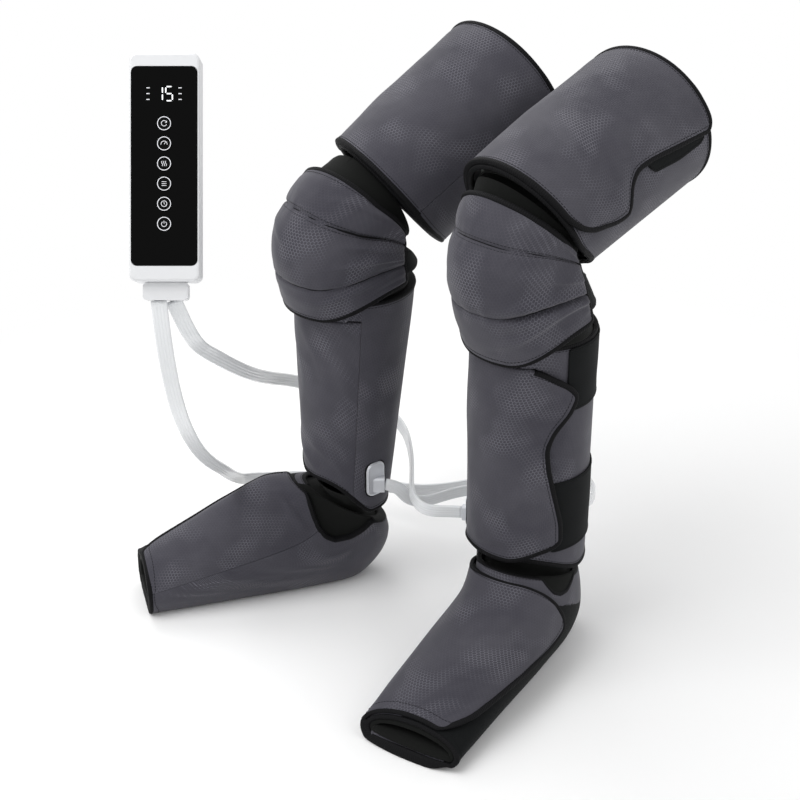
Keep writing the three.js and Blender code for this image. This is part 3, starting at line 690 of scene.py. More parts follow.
def sweep(
    name: str, centres: Array, sides: Array, normals: Array, sections: Array, loop: bool, finish: "Finish"
) -> bpy.types.Object:
    """Carries a section along a line.

    Args:
        name: the object's name.
        centres: the line.
        sides: the section's first direction at each point.
        normals: its second direction.
        sections: the section's points, one set or one a point.
        loop: whether the line closes on itself.
        finish: the material.

    Returns:
        The object.
    """
    count, around = len(centres), sections.shape[-2]
    sections = np.broadcast_to(sections, (count, around, 2))
    rings = centres[:, None] + sections[:, :, :1] * sides[:, None] + sections[:, :, 1:] * normals[:, None]
    points = rings.reshape(-1, 3)
    lengths = np.concatenate([[0], np.cumsum(np.linalg.norm(np.diff(centres, axis=0), axis=1))])
    edge = np.linalg.norm(np.diff(np.vstack([rings[0], rings[0, :1]]), axis=0), axis=1)
    girth = np.concatenate([[0], np.cumsum(edge)])
    last = count if loop else count - 1
    if loop:
        lengths = np.append(lengths, lengths[-1] + np.linalg.norm(centres[0] - centres[-1]))
    i, j = np.meshgrid(np.arange(last), np.arange(around), indexing="ij")
    i, j = i.ravel(), j.ravel()
    corners = [(i, j), (i, j + 1), (i + 1, j + 1), (i + 1, j)]
    faces = np.stack([(a % count) * around + b % around for a, b in corners], axis=1)
    places = np.stack([np.stack([girth[b], lengths[a]], axis=1) for a, b in corners], axis=1)
    turns = np.einsum("ij,ij->i", np.cross(sides, normals), slope(centres, loop)).sum()
    if turns < 0:
        faces, places = faces[:, ::-1], places[:, ::-1]
    made = closed_mesh(name, points, faces, places, [finish])
    if not loop:
        shape = bmesh.new()
        shape.from_mesh(made.data)
        bmesh.ops.holes_fill(shape, edges=[e for e in shape.edges if e.is_boundary], sides=0)
        bmesh.ops.recalc_face_normals(shape, faces=shape.faces)
        if shape.calc_volume(signed=True) < 0:
            bmesh.ops.reverse_faces(shape, faces=shape.faces)
        shape.to_mesh(made.data)
        shape.free()
    return made


# Finishes


def linear(colour: str) -> tuple[float, float, float, float]:
    """A colour as Blender wants it.

    Args:
        colour: an sRGB hex value such as "55545b".

    Returns:
        Linear red, green and blue, and alpha.
    """
    parts = [int(colour[i : i + 2], 16) / 255 for i in (0, 2, 4)]
    low = [c / 12.92 if c <= 0.04045 else ((c + 0.055) / 1.055) ** 2.4 for c in parts]
    return (low[0], low[1], low[2], 1.0)


def node(
    tree: bpy.types.NodeTree, kind: str, inputs: dict | None = None, **settings: object
) -> bpy.types.Node:
    """Adds a node.

    Args:
        tree: the node tree.
        kind: the node's type.
        inputs: for each input, by name or number, a value or the socket it is linked from.
        settings: the node's own settings.

    Returns:
        The node.
    """
    made = tree.nodes.new(kind)
    for key, value in settings.items():
        setattr(made, key, value)
    for key, value in (inputs or {}).items():
        if isinstance(value, bpy.types.NodeSocket):
            tree.links.new(value, made.inputs[key])
        else:
            made.inputs[key].default_value = value
    return made


def give(shader: bpy.types.Node, **values: object) -> None:
    """Sets a shader's inputs.

    Args:
        shader: the shader.
        values: a value for each input, under its name in small letters with underscores.
    """
    names = {i.name.lower().replace(" ", "_"): i for i in shader.inputs}
    for key, value in values.items():
        names[key].default_value = value


class Finish:
    """A material that is made once and then shared."""

    name: str

    def material(self) -> bpy.types.Material:
        """The material, made at the first call.

        Returns:
            The material.
        """
        found = bpy.data.materials.get(self.name)
        if found:
            return found
        made = bpy.data.materials.new(self.name)
        made.use_nodes = True
        tree = made.node_tree
        tree.nodes.clear()
        shader = node(tree, "ShaderNodeBsdfPrincipled")
        end = node(tree, "ShaderNodeOutputMaterial", {"Surface": shader.outputs[0]})
        end.location = (300, 0)
        self.dress(tree, shader)
        return made

    def dress(self, tree: bpy.types.NodeTree, shader: bpy.types.Node) -> None:
        """Sets the shader up: each finish has its own way."""
        raise NotImplementedError


def math_node(tree: bpy.types.NodeTree, operation: str, *values: object) -> bpy.types.NodeSocket:
    """One sum on numbers.

    Args:
        tree: the node tree.
        operation: the Math node's operation.
        values: numbers or sockets.

    Returns:
        The result's socket.
    """
    made = node(tree, "ShaderNodeMath", dict(enumerate(values)), operation=operation)
    return made.outputs[0]


@dataclass(frozen=True)
class KnitCloth(Finish):
    """Polyester knit over foam with a small honeycomb pressed into it: matt, with a soft sheen, and with
    painted glints, as the honeycomb's walls are painted lighter in noise patches.
    """

    name: str = "pressed_knit_cloth"
    colour: str = "4a4950"
    shade: str = "3a3941"
    # painted highlight: the light colour that the cell walls take in the glint patches
    wall_and_glint: str = "807f88"
    cell: float = 4.1  # a honeycomb cell across its flats, in mm
    thread: float = 1.1  # the knit's ribs, drawn about twice as coarse as they are so that they show

    def honeycomb(self, tree: bpy.types.NodeTree, place: bpy.types.NodeSocket) -> bpy.types.NodeSocket:
        """How near a place is to a cell's wall.

        Args:
            tree: the node tree.
            place: where on the cloth.

        Returns:
            0 in the middle of a cell and 1 on its wall.
        """

        def vector(operation: str, *values: object) -> bpy.types.Node:
            """One sum on vectors."""
            return node(tree, "ShaderNodeVectorMath", dict(enumerate(values)), operation=operation)

        span, half = (1.0, math.sqrt(3.0), 1.0), (0.5, math.sqrt(3.0) / 2, 0.5)
        scaled = node(tree, "ShaderNodeMapping", {0: place, "Scale": (1 / (self.cell * MM),) * 3})
        offsets = []
        for shift in ((0.0, 0.0, 0.0), half):
            moved = vector("ADD", scaled.outputs[0], shift)
            repeated = vector("FRACTION", vector("DIVIDE", moved.outputs[0], span).outputs[0])
            inside = vector("SUBTRACT", repeated.outputs[0], (0.5, 0.5, 0.5))
            away = vector("ABSOLUTE", vector("MULTIPLY", inside.outputs[0], span).outputs[0])
            flat = vector("MULTIPLY", away.outputs[0], (1.0, 1.0, 0.0))
            slant = vector("DOT_PRODUCT", flat.outputs[0], (0.5, math.sqrt(3.0) / 2, 0.0))
            parts = node(tree, "ShaderNodeSeparateXYZ", {0: flat.outputs[0]})
            offsets.append(math_node(tree, "MAXIMUM", parts.outputs[0], slant.outputs["Value"]))
        near = math_node(tree, "MINIMUM", *offsets)
        wall_and_glint = node(tree, "ShaderNodeMapRange", {0: near, 1: 0.38, 2: 0.48, 3: 0.0, 4: 1.0})
        return wall_and_glint.outputs[0]

    def dress(self, tree: bpy.types.NodeTree, shader: bpy.types.Node) -> None:
        """Sets the shader up.

        Args:
            tree: the node tree.
            shader: its Principled BSDF.
        """
        place = node(tree, "ShaderNodeTexCoord").outputs["UV"]
        wall_and_glint = self.honeycomb(tree, place)
        # Noise patches where the honeycomb shows: there its walls are pressed in and also painted lighter, as
        # painted glints.
        patches = node(tree, "ShaderNodeTexNoise", {0: place, "Scale": 15.0, "Detail": 2.0})
        shown = node(tree, "ShaderNodeMapRange", {0: patches.outputs[0], 1: 0.47, 2: 0.62, 3: 0.1, 4: 1.0})
        lines = math_node(tree, "MULTIPLY", wall_and_glint, shown.outputs[0])
        rib = node(
            tree, "ShaderNodeTexWave",
            {0: place, "Scale": 1 / (self.thread * MM) / 20 * math.pi, "Distortion": 1.2, "Detail": 1.0},
        )
        mottle = node(tree, "ShaderNodeTexNoise", {0: place, "Scale": 9.0, "Detail": 5.0, "Roughness": 0.6})
        tone = node(tree, "ShaderNodeMapRange", {0: mottle.outputs[0], 1: 0.35, 2: 0.65})
        base = node(
            tree, "ShaderNodeMix",
            {0: tone.outputs[0], 6: linear(self.shade), 7: linear(self.colour)}, data_type="RGBA",
        )
        # Painted highlight: the walls are mixed toward the light glint colour.
        strength = math_node(tree, "MULTIPLY", lines, 0.62)
        final = node(
            tree, "ShaderNodeMix", {0: strength, 6: base.outputs[2], 7: linear(self.wall_and_glint)}, data_type="RGBA"
        )
        sunk = math_node(tree, "MULTIPLY", lines, -0.45)
        height = math_node(tree, "MULTIPLY_ADD", rib.outputs["Fac"], 0.16, sunk)
        dent = node(tree, "ShaderNodeBump", {"Height": height, "Distance": 0.0007, "Strength": 0.8})
        tree.links.new(final.outputs[2], shader.inputs["Base Color"])
        tree.links.new(dent.outputs[0], shader.inputs["Normal"])
        give(shader, roughness=0.78, specular_ior_level=0.2, sheen_weight=0.16, sheen_roughness=0.45)


@dataclass(frozen=True)
class RibbedCloth(Finish):
    """Black woven tape: matt polyester with fine ribs across its length."""

    name: str = "ribbed_tape"
    colour: str = "0c0c0e"
    rib: float = 1.3
    fuzz: float = 0.0
    roughness: float = 0.7

    def dress(self, tree: bpy.types.NodeTree, shader: bpy.types.Node) -> None:
        """Sets the shader up.

        Args:
            tree: the node tree.
            shader: its Principled BSDF.
        """
        place = node(tree, "ShaderNodeTexCoord").outputs["UV"]
        rib = node(
            tree, "ShaderNodeTexWave",
            {0: place, "Scale": 1 / (self.rib * MM) / 20 * math.pi, "Distortion": 0.4},
            bands_direction="Y",
        )
        pile = node(tree, "ShaderNodeTexNoise", {0: place, "Scale": 900.0, "Detail": 2.0})
        height = math_node(
            tree, "ADD", math_node(tree, "MULTIPLY", rib.outputs["Fac"], 1 - self.fuzz),
            math_node(tree, "MULTIPLY", pile.outputs[0], self.fuzz),
        )
        dent = node(tree, "ShaderNodeBump", {"Height": height, "Distance": 0.0005, "Strength": 0.6})
        tree.links.new(dent.outputs[0], shader.inputs["Normal"])
        give(shader, base_color=linear(self.colour), roughness=self.roughness)
        give(shader, specular_ior_level=0.12, sheen_weight=0.04 * self.fuzz)


@dataclass(frozen=True)
class Moulded(Finish):
    """A moulded or painted surface with a faint unevenness."""

    name: str
    colour: str
    roughness: float
    ior: float = 1.5
    coat: float = 0.0
    metallic: float = 0.0
    grain: float = 0.0
    # how strongly it glows in its own colour: real light on the lit display, painted light on print
    glow: float = 0.0

    def dress(self, tree: bpy.types.NodeTree, shader: bpy.types.Node) -> None:
        """Sets the shader up.

        Args:
            tree: the node tree.
            shader: its Principled BSDF.
        """
        place = node(tree, "ShaderNodeTexCoord").outputs["Object"]
        uneven = node(tree, "ShaderNodeTexNoise", {0: place, "Scale": 60.0, "Detail": 3.0})
        rough = node(
            tree, "ShaderNodeMapRange",
            {0: uneven.outputs[0], 3: self.roughness * 0.85, 4: min(self.roughness * 1.15, 1.0)},
        )
        tree.links.new(rough.outputs[0], shader.inputs["Roughness"])
        if self.grain:
            spark = node(tree, "ShaderNodeTexNoise", {0: place, "Scale": 2500.0, "Detail": 1.0})
            inputs = {"Height": spark.outputs[0], "Distance": 0.0001, "Strength": self.grain}
            dent = node(tree, "ShaderNodeBump", inputs)
            tree.links.new(dent.outputs[0], shader.inputs["Normal"])
        colour = linear(self.colour)
        give(shader, base_color=colour, coat_weight=self.coat, coat_roughness=0.04, metallic=self.metallic)
        if not self.metallic:
            give(shader, ior=self.ior)
        if self.glow:
            give(shader, emission_color=colour, emission_strength=self.glow)


def seen_directly(tree: bpy.types.NodeTree) -> bpy.types.NodeSocket:
    """Whether a surface is seen by the camera, straight or in a mirror or through glass.

    Args:
        tree: the node tree.

    Returns:
        A socket that is 1 where it is.
    """
    path = node(tree, "ShaderNodeLightPath")
    seen = math_node(tree, "MAXIMUM", path.outputs["Is Camera Ray"], path.outputs["Is Transmission Ray"])
    return math_node(tree, "MAXIMUM", seen, path.outputs["Is Glossy Ray"])


@dataclass(frozen=True)
class PaleFloor(Finish):
    """White seamless paper: it keeps the object's shadow, and fades to the white of the room."""

    name: str = "white_paper"
    colour: str = "fbfbfb"
    near: float = 0.62  # metres from the middle
    far: float = 1.05

    def dress(self, tree: bpy.types.NodeTree, shader: bpy.types.Node) -> None:
        """Sets the shader up.

        Args:
            tree: the node tree.
            shader: its Principled BSDF.
        """
        give(shader, base_color=linear(self.colour), roughness=0.9)
        place = node(tree, "ShaderNodeTexCoord").outputs["Object"]
        away = node(tree, "ShaderNodeVectorMath", {0: place}, operation="LENGTH")
        fade = node(
            tree, "ShaderNodeMapRange", {0: away.outputs["Value"], 1: self.near, 2: self.far},
            interpolation_type="SMOOTHSTEP",
        )
        share = math_node(tree, "MULTIPLY", seen_directly(tree), fade.outputs[0])
        paper = node(tree, "ShaderNodeEmission", {"Color": (1, 1, 1, 1), "Strength": 1.0})
        both = node(tree, "ShaderNodeMixShader", {0: share, 1: shader.outputs[0], 2: paper.outputs[0]})
        end = next(n for n in tree.nodes if n.type == "OUTPUT_MATERIAL")
        tree.links.new(both.outputs[0], end.inputs["Surface"])


CLOTH = KnitCloth()
TAPE = RibbedCloth()
THREAD = RibbedCloth("black_thread", "0c0c0e", 0.6, 0.0, 0.6)
LINING_CLOTH = RibbedCloth("brushed_lining", "111211", 1.6, 0.9, 0.9)
LOOP_CLOTH = RibbedCloth("loop_tape", "0d0f10", 1.1, 0.75, 0.85)
BLADDER_CLOTH = RibbedCloth("coated_nylon", "8f9391", 0.9, 0.2, 0.55)
HEATER_FILM = RibbedCloth("heater_film", "2a2420", 3.0, 0.1, 0.5)
WHITE_ABS = Moulded("white_abs", "dddee0", 0.32, 1.53, grain=0.15)
BLACK_GLASS = Moulded("black_acrylic", "030303", 0.1, 1.15)
KEY_CAP = Moulded("black_key_cap", "040404", 0.16, 1.17)
# The white print glows faintly: painted light, as print is no lamp.
PRINT = Moulded("white_print", "d9dade", 0.5, glow=0.25)
DIGIT = Moulded("lit_segments", "f4f6f8", 0.4, glow=0.9)
GLAND_ABS = Moulded("satin_silver_paint", "d2d4d9", 0.3, metallic=0.35, coat=0.3)
HOSE_PVC = Moulded("clear_soft_pvc", "e6e8ea", 0.25, 1.5, coat=0.25)
STEEL = Moulded("nickel_steel", "a9abae", 0.3, metallic=1.0)
RESIN = Moulded("board_resin", "1f5a35", 0.5)
WRAP = Moulded("battery_wrap", "3a6ea5", 0.45)


# The legs


Fold = tuple[float, float, float, float, float, float]


@dataclass(frozen=True)
class LegSizes:
    """One leg as it sits, with the same numbers as the CAD source, and how its cloth lies."""

    name: str
    outward: int
    calf: dict
    hem: dict
    knee: dict
    knee_rings: list
    knee_drop: float
    lining_from: float
    thigh: dict
    toe_out: float
    foot_rings: list
    seeds: dict  # of the waves in its cloth
    calf_folds: list[Fold]
    foot_folds: list[Fold]
    knee_folds: list[Fold]
    knee_seams: list[tuple[float, float, float]]  # share along, dip at the sides and lean
    strap_loose: float
    ankle_opening: tuple[list, list]  # angles and how far down the foot it dips
    ankle_insert: dict
    loop_area: tuple[float, float]  # the angle and the station that bound the foot's loop cloth
    foot_free: Curve  # the foot flap's free edge
    foot_corner: float


RIGHT = LegSizes(
    "right", -1,
    dict(x=-119, y=-34, low=128, top=408, low_radius=45, top_radius=66, low_y=-5, top_y=11),
    dict(front=165, back=118, turn=14),
    dict(y=22, z=478, tilt=63.2, yaw=4.1),
    [
        [0, 10, 388, 0, 79, 85, 77],
        [0.33, 9, 437, 5, 77, 101, 66],
        [0.55, 10, 460, 18, 76, 102, 59],
        [0.78, 16, 480, 42, 75, 88, 54],
        [1, 24, 494, 66, 74, 75, 54],
    ],
    0.12, 0.1443,
    dict(near=46, far=258, rise=4, radius=79, far_radius=85, skew=24, skew_at=-45, under=10),
    28.5,
    [
        [0, -56, 145, 40, 88, 42, 6],
        [0.2, -75, 147, 46, 60, 42, 11],
        [0.36, -97, 145, 38, 30, 42, 15],
        [0.5, -119, 137, 6, 0, 43, 15],
        [0.64, -151, 121, -48, -6, 45, 15],
        [0.8, -197, 96, -150, -6, 46, 15],
        [1, -262, 62, -262, -5, 43, 15],
    ],
    seeds=dict(calf=11, thigh=37, knee=67, foot=97),
    calf_folds=[
        (0.1, 0.1, 0.55, 0.25, 9, 2.4), (0.05, 0.24, 0.5, 0.34, 10, 1.8),
        (0.35, 0.03, 0.85, 0.2, 8, 1.8), (0.3, 0.5, 0.5, 0.95, 12, 1.6),
        (0.12, 0.55, 0.3, 0.95, 12, 1.3), (0.62, 0.45, 0.72, 0.9, 11, 1.2),
    ],
    foot_folds=[
        (0.05, 0.1, 0.5, 0.3, 9, 2.2), (0.1, 0.3, 0.45, 0.55, 12, 1.5),
        (0.1, 0.55, 0.4, 0.9, 12, 1.3), (0.5, 0.05, 0.6, 0.4, 10, 1.6),
    ],
    knee_folds=[
        (0.05, 0.5, 0.3, 0.62, 7, 2.8), (0.08, 0.9, 0.42, 0.84, 6, 2.4),
        (0.02, 0.38, 0.35, 0.44, 6, 2.6), (0.5, 0.55, 0.7, 0.68, 8, 1.8),
        (0.1, 0.2, 0.45, 0.12, 8, 2.2),
    ],
    knee_seams=[(0.3, 0.0, 0.1), (0.75, -0.04, 0.12)],
    strap_loose=8.0,
    ankle_opening=(
        [-132, -124, -117, -111, -104, -96, -88, -78, -68, -56, -43, -28, -12],
        [0.0, 0.02, 0.08, 0.2, 0.33, 0.395, 0.405, 0.38, 0.33, 0.25, 0.16, 0.07, 0.0],
    ),
    ankle_insert=dict(deep=0.46, outer=1.6, start=-134, end=-14),
    loop_area=(84, 0.12),
    foot_free=lambda v: 18 - 4 * ease(v, 0.0, 0.7),
    foot_corner=21,
)
LEFT = LegSizes(
    "left", 1,
    dict(x=119, y=34, low=118, top=414, low_radius=67, top_radius=68, low_y=0, top_y=0),
    dict(front=140, back=116, turn=6),
    dict(y=-34, z=505, tilt=75.2, yaw=3.7),
    [
        [0, -3, 395, 0, 80, 81, 78],
        [0.33, -12, 455, 5, 77, 98, 61],
        [0.55, -18, 486, 14, 75, 99, 52],
        [0.78, -25, 513, 30, 74, 84, 50],
        [1, -30, 534, 46, 73, 71, 55],
    ],
    0.0, 0.1092,
    dict(near=18, far=246, rise=33, radius=79, far_radius=85, skew=27, skew_at=20, under=26),
    13.0,
    [
        [0, -72, 127, 58, 88, 57, 4],
        [0.2, -90, 119, 62, 56, 58, 9],
        [0.36, -108, 109, 58, 20, 59, 12],
        [0.5, -128, 98, 26, -3, 60, 12],
        [0.64, -160, 84, -44, -6, 61, 12],
        [0.8, -208, 64, -168, -6, 61, 12],
        [1, -266, 38, -284, -5, 60, 12],
    ],
    seeds=dict(calf=23, thigh=51, knee=83, foot=113),
    calf_folds=[
        (0.25, 0.04, 0.85, 0.13, 9, 1.8), (0.55, 0.2, 0.85, 0.35, 10, 1.2),
        (0.1, 0.5, 0.24, 0.95, 12, 1.3), (0.45, 0.55, 0.55, 0.95, 14, 1.2),
    ],
    foot_folds=[
        (0.3, 0.2, 0.55, 0.75, 13, 1.6), (0.66, 0.35, 0.8, 0.62, 9, 1.6), (0.1, 0.3, 0.3, 0.85, 14, 1.1),
    ],
    knee_folds=[
        (0.62, 0.12, 0.97, 0.24, 7, 3.0), (0.5, 0.08, 0.85, 0.2, 7, 2.0),
        (0.7, 0.86, 0.98, 0.8, 6, 2.6), (0.6, 0.55, 0.98, 0.45, 8, 2.0),
    ],
    knee_seams=[(0.31, -0.01, 0.0), (0.705, 0.05, 0.0)],
    strap_loose=3.0,
    ankle_opening=(
        [44, 50, 57, 64, 73, 82, 90, 98, 106],
        [0.0, 0.03, 0.12, 0.185, 0.2, 0.17, 0.1, 0.03, 0.0],
    ),
    ankle_insert=dict(deep=0.25, outer=-0.7, start=40, end=110),
    loop_area=(128, 0.3),
    foot_free=drawn([0, 0.2, 0.37, 0.55, 0.7, 0.84, 1], [84, 85, 83, 76, 66, 57, 46]),
    foot_corner=36,
)

# Where the covers begin and where they stop being lapped, in degrees, and the flaps' free edges.
CALF_ROOT, CALF_LAP = -55.0, 150.0
THIGH_ROOT, THIGH_LAP = -80.0, 150.0
FOOT_ROOT, FOOT_LAP = -80.0, 122.0
CALF_FREE = drawn([0, 0.16, 0.32, 0.49, 0.6, 0.7, 0.83, 0.93, 1], [73, 72, 65, 58, 56, 62, 76, 83, 83])
THIGH_FREE = drawn(
    [0, 0.08, 0.17, 0.27, 0.32, 0.38, 0.46, 0.57, 0.7, 0.92, 1],
    [86, 90, 96, 97, 89, 78, 71, 72, 76, 82, 84],
)
LOOP_FREE = drawn([0, 0.1, 0.5, 0.9, 1], [76, 83, 88, 89, 88])
KNEE_PADS = (2.4, 3.6, 3.0)  # how far each pad swells, from the lowest
SEAM_STITCH = 3.4  # how far its stitches run from a knee seam


def ring_between(at: float, front: Array, back: Array, half: float, shift: float = 0.0) -> list:
    """A ring through a point at its front and one at its back.

    Args:
        at: its station.
        front: y and z of the front point.
        back: y and z of the back point.
        half: its half width.
        shift: how far it stands off to the outside.

    Returns:
        A row of a tube's table.
    """
    rise = [front[0] - back[0], front[1] - back[1]]
    reach = math.hypot(*rise) / 2
    tilt = math.degrees(math.atan2(rise[1], -rise[0]))
    return [at, (front[0] + back[0]) / 2, (front[1] + back[1]) / 2, tilt, half, reach, reach, shift]


def waves(spots: Spots, seed: int, *rows: tuple[float, float, float]) -> Array:
    """Waves in cloth.

    Args:
        spots: the places.
        seed: the first row's noise.
        rows: each row's height, and how long its waves are across and along, in mm.

    Returns:
        How much the waves raise the cloth.
    """
    return sum(
        high * noise(spots.x / across, spots.y / along, seed + k)
        for k, (high, across, along) in enumerate(rows)
    )


def folds(spots: Spots, lines: list[Fold]) -> Array:
    """Folds in cloth, each along a bowed line on its patch.

    Args:
        spots: the places.
        lines: for each fold u and v at its two ends, its width and its height, both in mm.

    Returns:
        How much the folds raise the cloth.
    """
    total = np.zeros_like(spots.x)
    width, height = spots.x.max(), spots.y.max()
    for u0, v0, u1, v1, wide, high in lines:
        ax, ay, bx, by = u0 * width, v0 * height, u1 * width, v1 * height
        length = math.hypot(bx - ax, by - ay)
        dx, dy = (bx - ax) / length, (by - ay) / length
        along = (spots.x - ax) * dx + (spots.y - ay) * dy
        bow = 0.06 * length * np.sin(np.clip(along / length, 0, 1) * np.pi)
        off = (spots.y - ay) * dx - (spots.x - ax) * dy - bow
        ends = ease(along, -0.1 * length, 0.35 * length) * ease(along, 1.1 * length, 0.6 * length)
        steep = np.where(off > 0, wide, wide * 0.55)
        total += high * ends * np.exp(-((off / steep) ** 2))
    return total


@dataclass(frozen=True)
class FlapLook:
    """How a flap lies: its crown, its waves, its folds and how far in they begin."""

    crown: float
    sunk: float
    rows: tuple[tuple[float, float, float], ...]
    lines: list[Fold]
    bed: float  # mm from its edges
    root: float  # share of its width from its root

    def relief(self, seed: int) -> Relief:
        """The flap's relief.

        Args:
            seed: the waves' noise.

        Returns:
            The relief, as a function of places.
        """

        def raised(s: Spots) -> Array:
            """How far the flap stands out.

            Args:
                s: the places.

            Returns:
                A height for each.
            """
            crown = self.crown * np.sin(np.pi * s.u) ** 0.6 * np.sin(np.pi * s.v) ** 0.5 - self.sunk
            total = crown + waves(s, seed, *self.rows) + folds(s, self.lines)
            return total * ease(s.rim, TAPE_BED, self.bed) * ease(s.u, 0, self.root)

        return raised


def seam_curve(v: float, dip: float, lean: float) -> Curve:
    """A seam across the knee cover, as a share along it for each share across."""
    return lambda u: v + dip * (2 * u - 1) ** 2 + lean * (u - 0.5)


class Sewing:
    """Collects the stitch lines of each body, and makes them with Geometry Nodes at the end."""

    def __init__(self) -> None:
        """Starts with no lines."""
        self.lines: dict[tuple[str, ...], list[Array]] = {}

    def line(self, owner: tuple[str, ...], points: Array) -> None:
        """Adds a line of stitches, in millimetres, to the body or the knee that owns it."""
        self.lines.setdefault(owner, []).append(points)

    def tree(self) -> bpy.types.NodeTree:
        """The node tree that lays a stitch at every pitch along a curve.

        Returns:
            The node tree.
        """
        tree = bpy.data.node_groups.new("stitch_line", "GeometryNodeTree")
        face = tree.interface
        face.new_socket("Line", in_out="INPUT", socket_type="NodeSocketGeometry")
        for label, value in (
            ("Pitch", STITCH_PITCH), ("Stitch length", STITCH_LENGTH), ("Thread radius", STITCH_RADIUS)
        ):
            face.new_socket(label, in_out="INPUT", socket_type="NodeSocketFloat").default_value = value * MM
        face.new_socket("Thread", in_out="INPUT", socket_type="NodeSocketMaterial")
        face.new_socket("Stitches", in_out="OUTPUT", socket_type="NodeSocketGeometry")
        start = node(tree, "NodeGroupInput")
        line, pitch, length, radius, thread = start.outputs[:5]
        spaced = node(tree, "GeometryNodeCurveToPoints", {"Curve": line, "Length": pitch}, mode="LENGTH")
        rod = node(
            tree, "GeometryNodeMeshCylinder",
            {"Vertices": 6, "Side Segments": 1, "Radius": radius, "Depth": length},
            fill_type="TRIANGLE_FAN",
        )
        turn = node(
            tree, "FunctionNodeAlignRotationToVector", {"Vector": spaced.outputs["Tangent"]}, axis="Z"
        )
        laid = node(
            tree, "GeometryNodeInstanceOnPoints",
            {
                "Points": spaced.outputs["Points"], "Instance": rod.outputs["Mesh"],
                "Rotation": turn.outputs[0],
            },
        )
        real = node(tree, "GeometryNodeRealizeInstances", {0: laid.outputs[0]})
        dressed = node(tree, "GeometryNodeSetMaterial", {"Geometry": real.outputs[0], "Material": thread})
        node(tree, "NodeGroupOutput", {0: dressed.outputs[0]})
        return tree

    def make(self) -> dict[tuple[str, ...], bpy.types.Object]:
        """Makes one mesh of stitches for each owner.

        Returns:
            The meshes by owner.
        """
        tree = self.tree()
        thread = next(i for i in tree.interface.items_tree if i.name == "Thread")
        made = {}
        for owner, lines in self.lines.items():
            name = "_".join(owner) + "_stitches"
            curve = bpy.data.curves.new(name + "_line", "CURVE")
            curve.dimensions = "3D"
            for points in lines:
                spline = curve.splines.new("POLY")
                spline.points.add(len(points) - 1)
                flat = np.concatenate([points * MM, np.ones((len(points), 1))], axis=1)
                spline.points.foreach_set("co", flat.ravel().astype(np.float32))
            source = linked(name + "_line", curve)
            modifier = source.modifiers.new("stitches", "NODES")
            modifier.node_group = tree
            modifier[thread.identifier] = THREAD.material()
            graph = bpy.context.evaluated_depsgraph_get()
            mesh = bpy.data.meshes.new_from_object(source.evaluated_get(graph))
            mesh.name = name
            bpy.data.objects.remove(source)
            made[owner] = linked(name, mesh)
        return made


class Layer(Enum):
    """A closed layer of cloth inside a cover, and the end of its piece's name."""

    BLADDER = "air_bladder"
    LINING = "inner_lining"


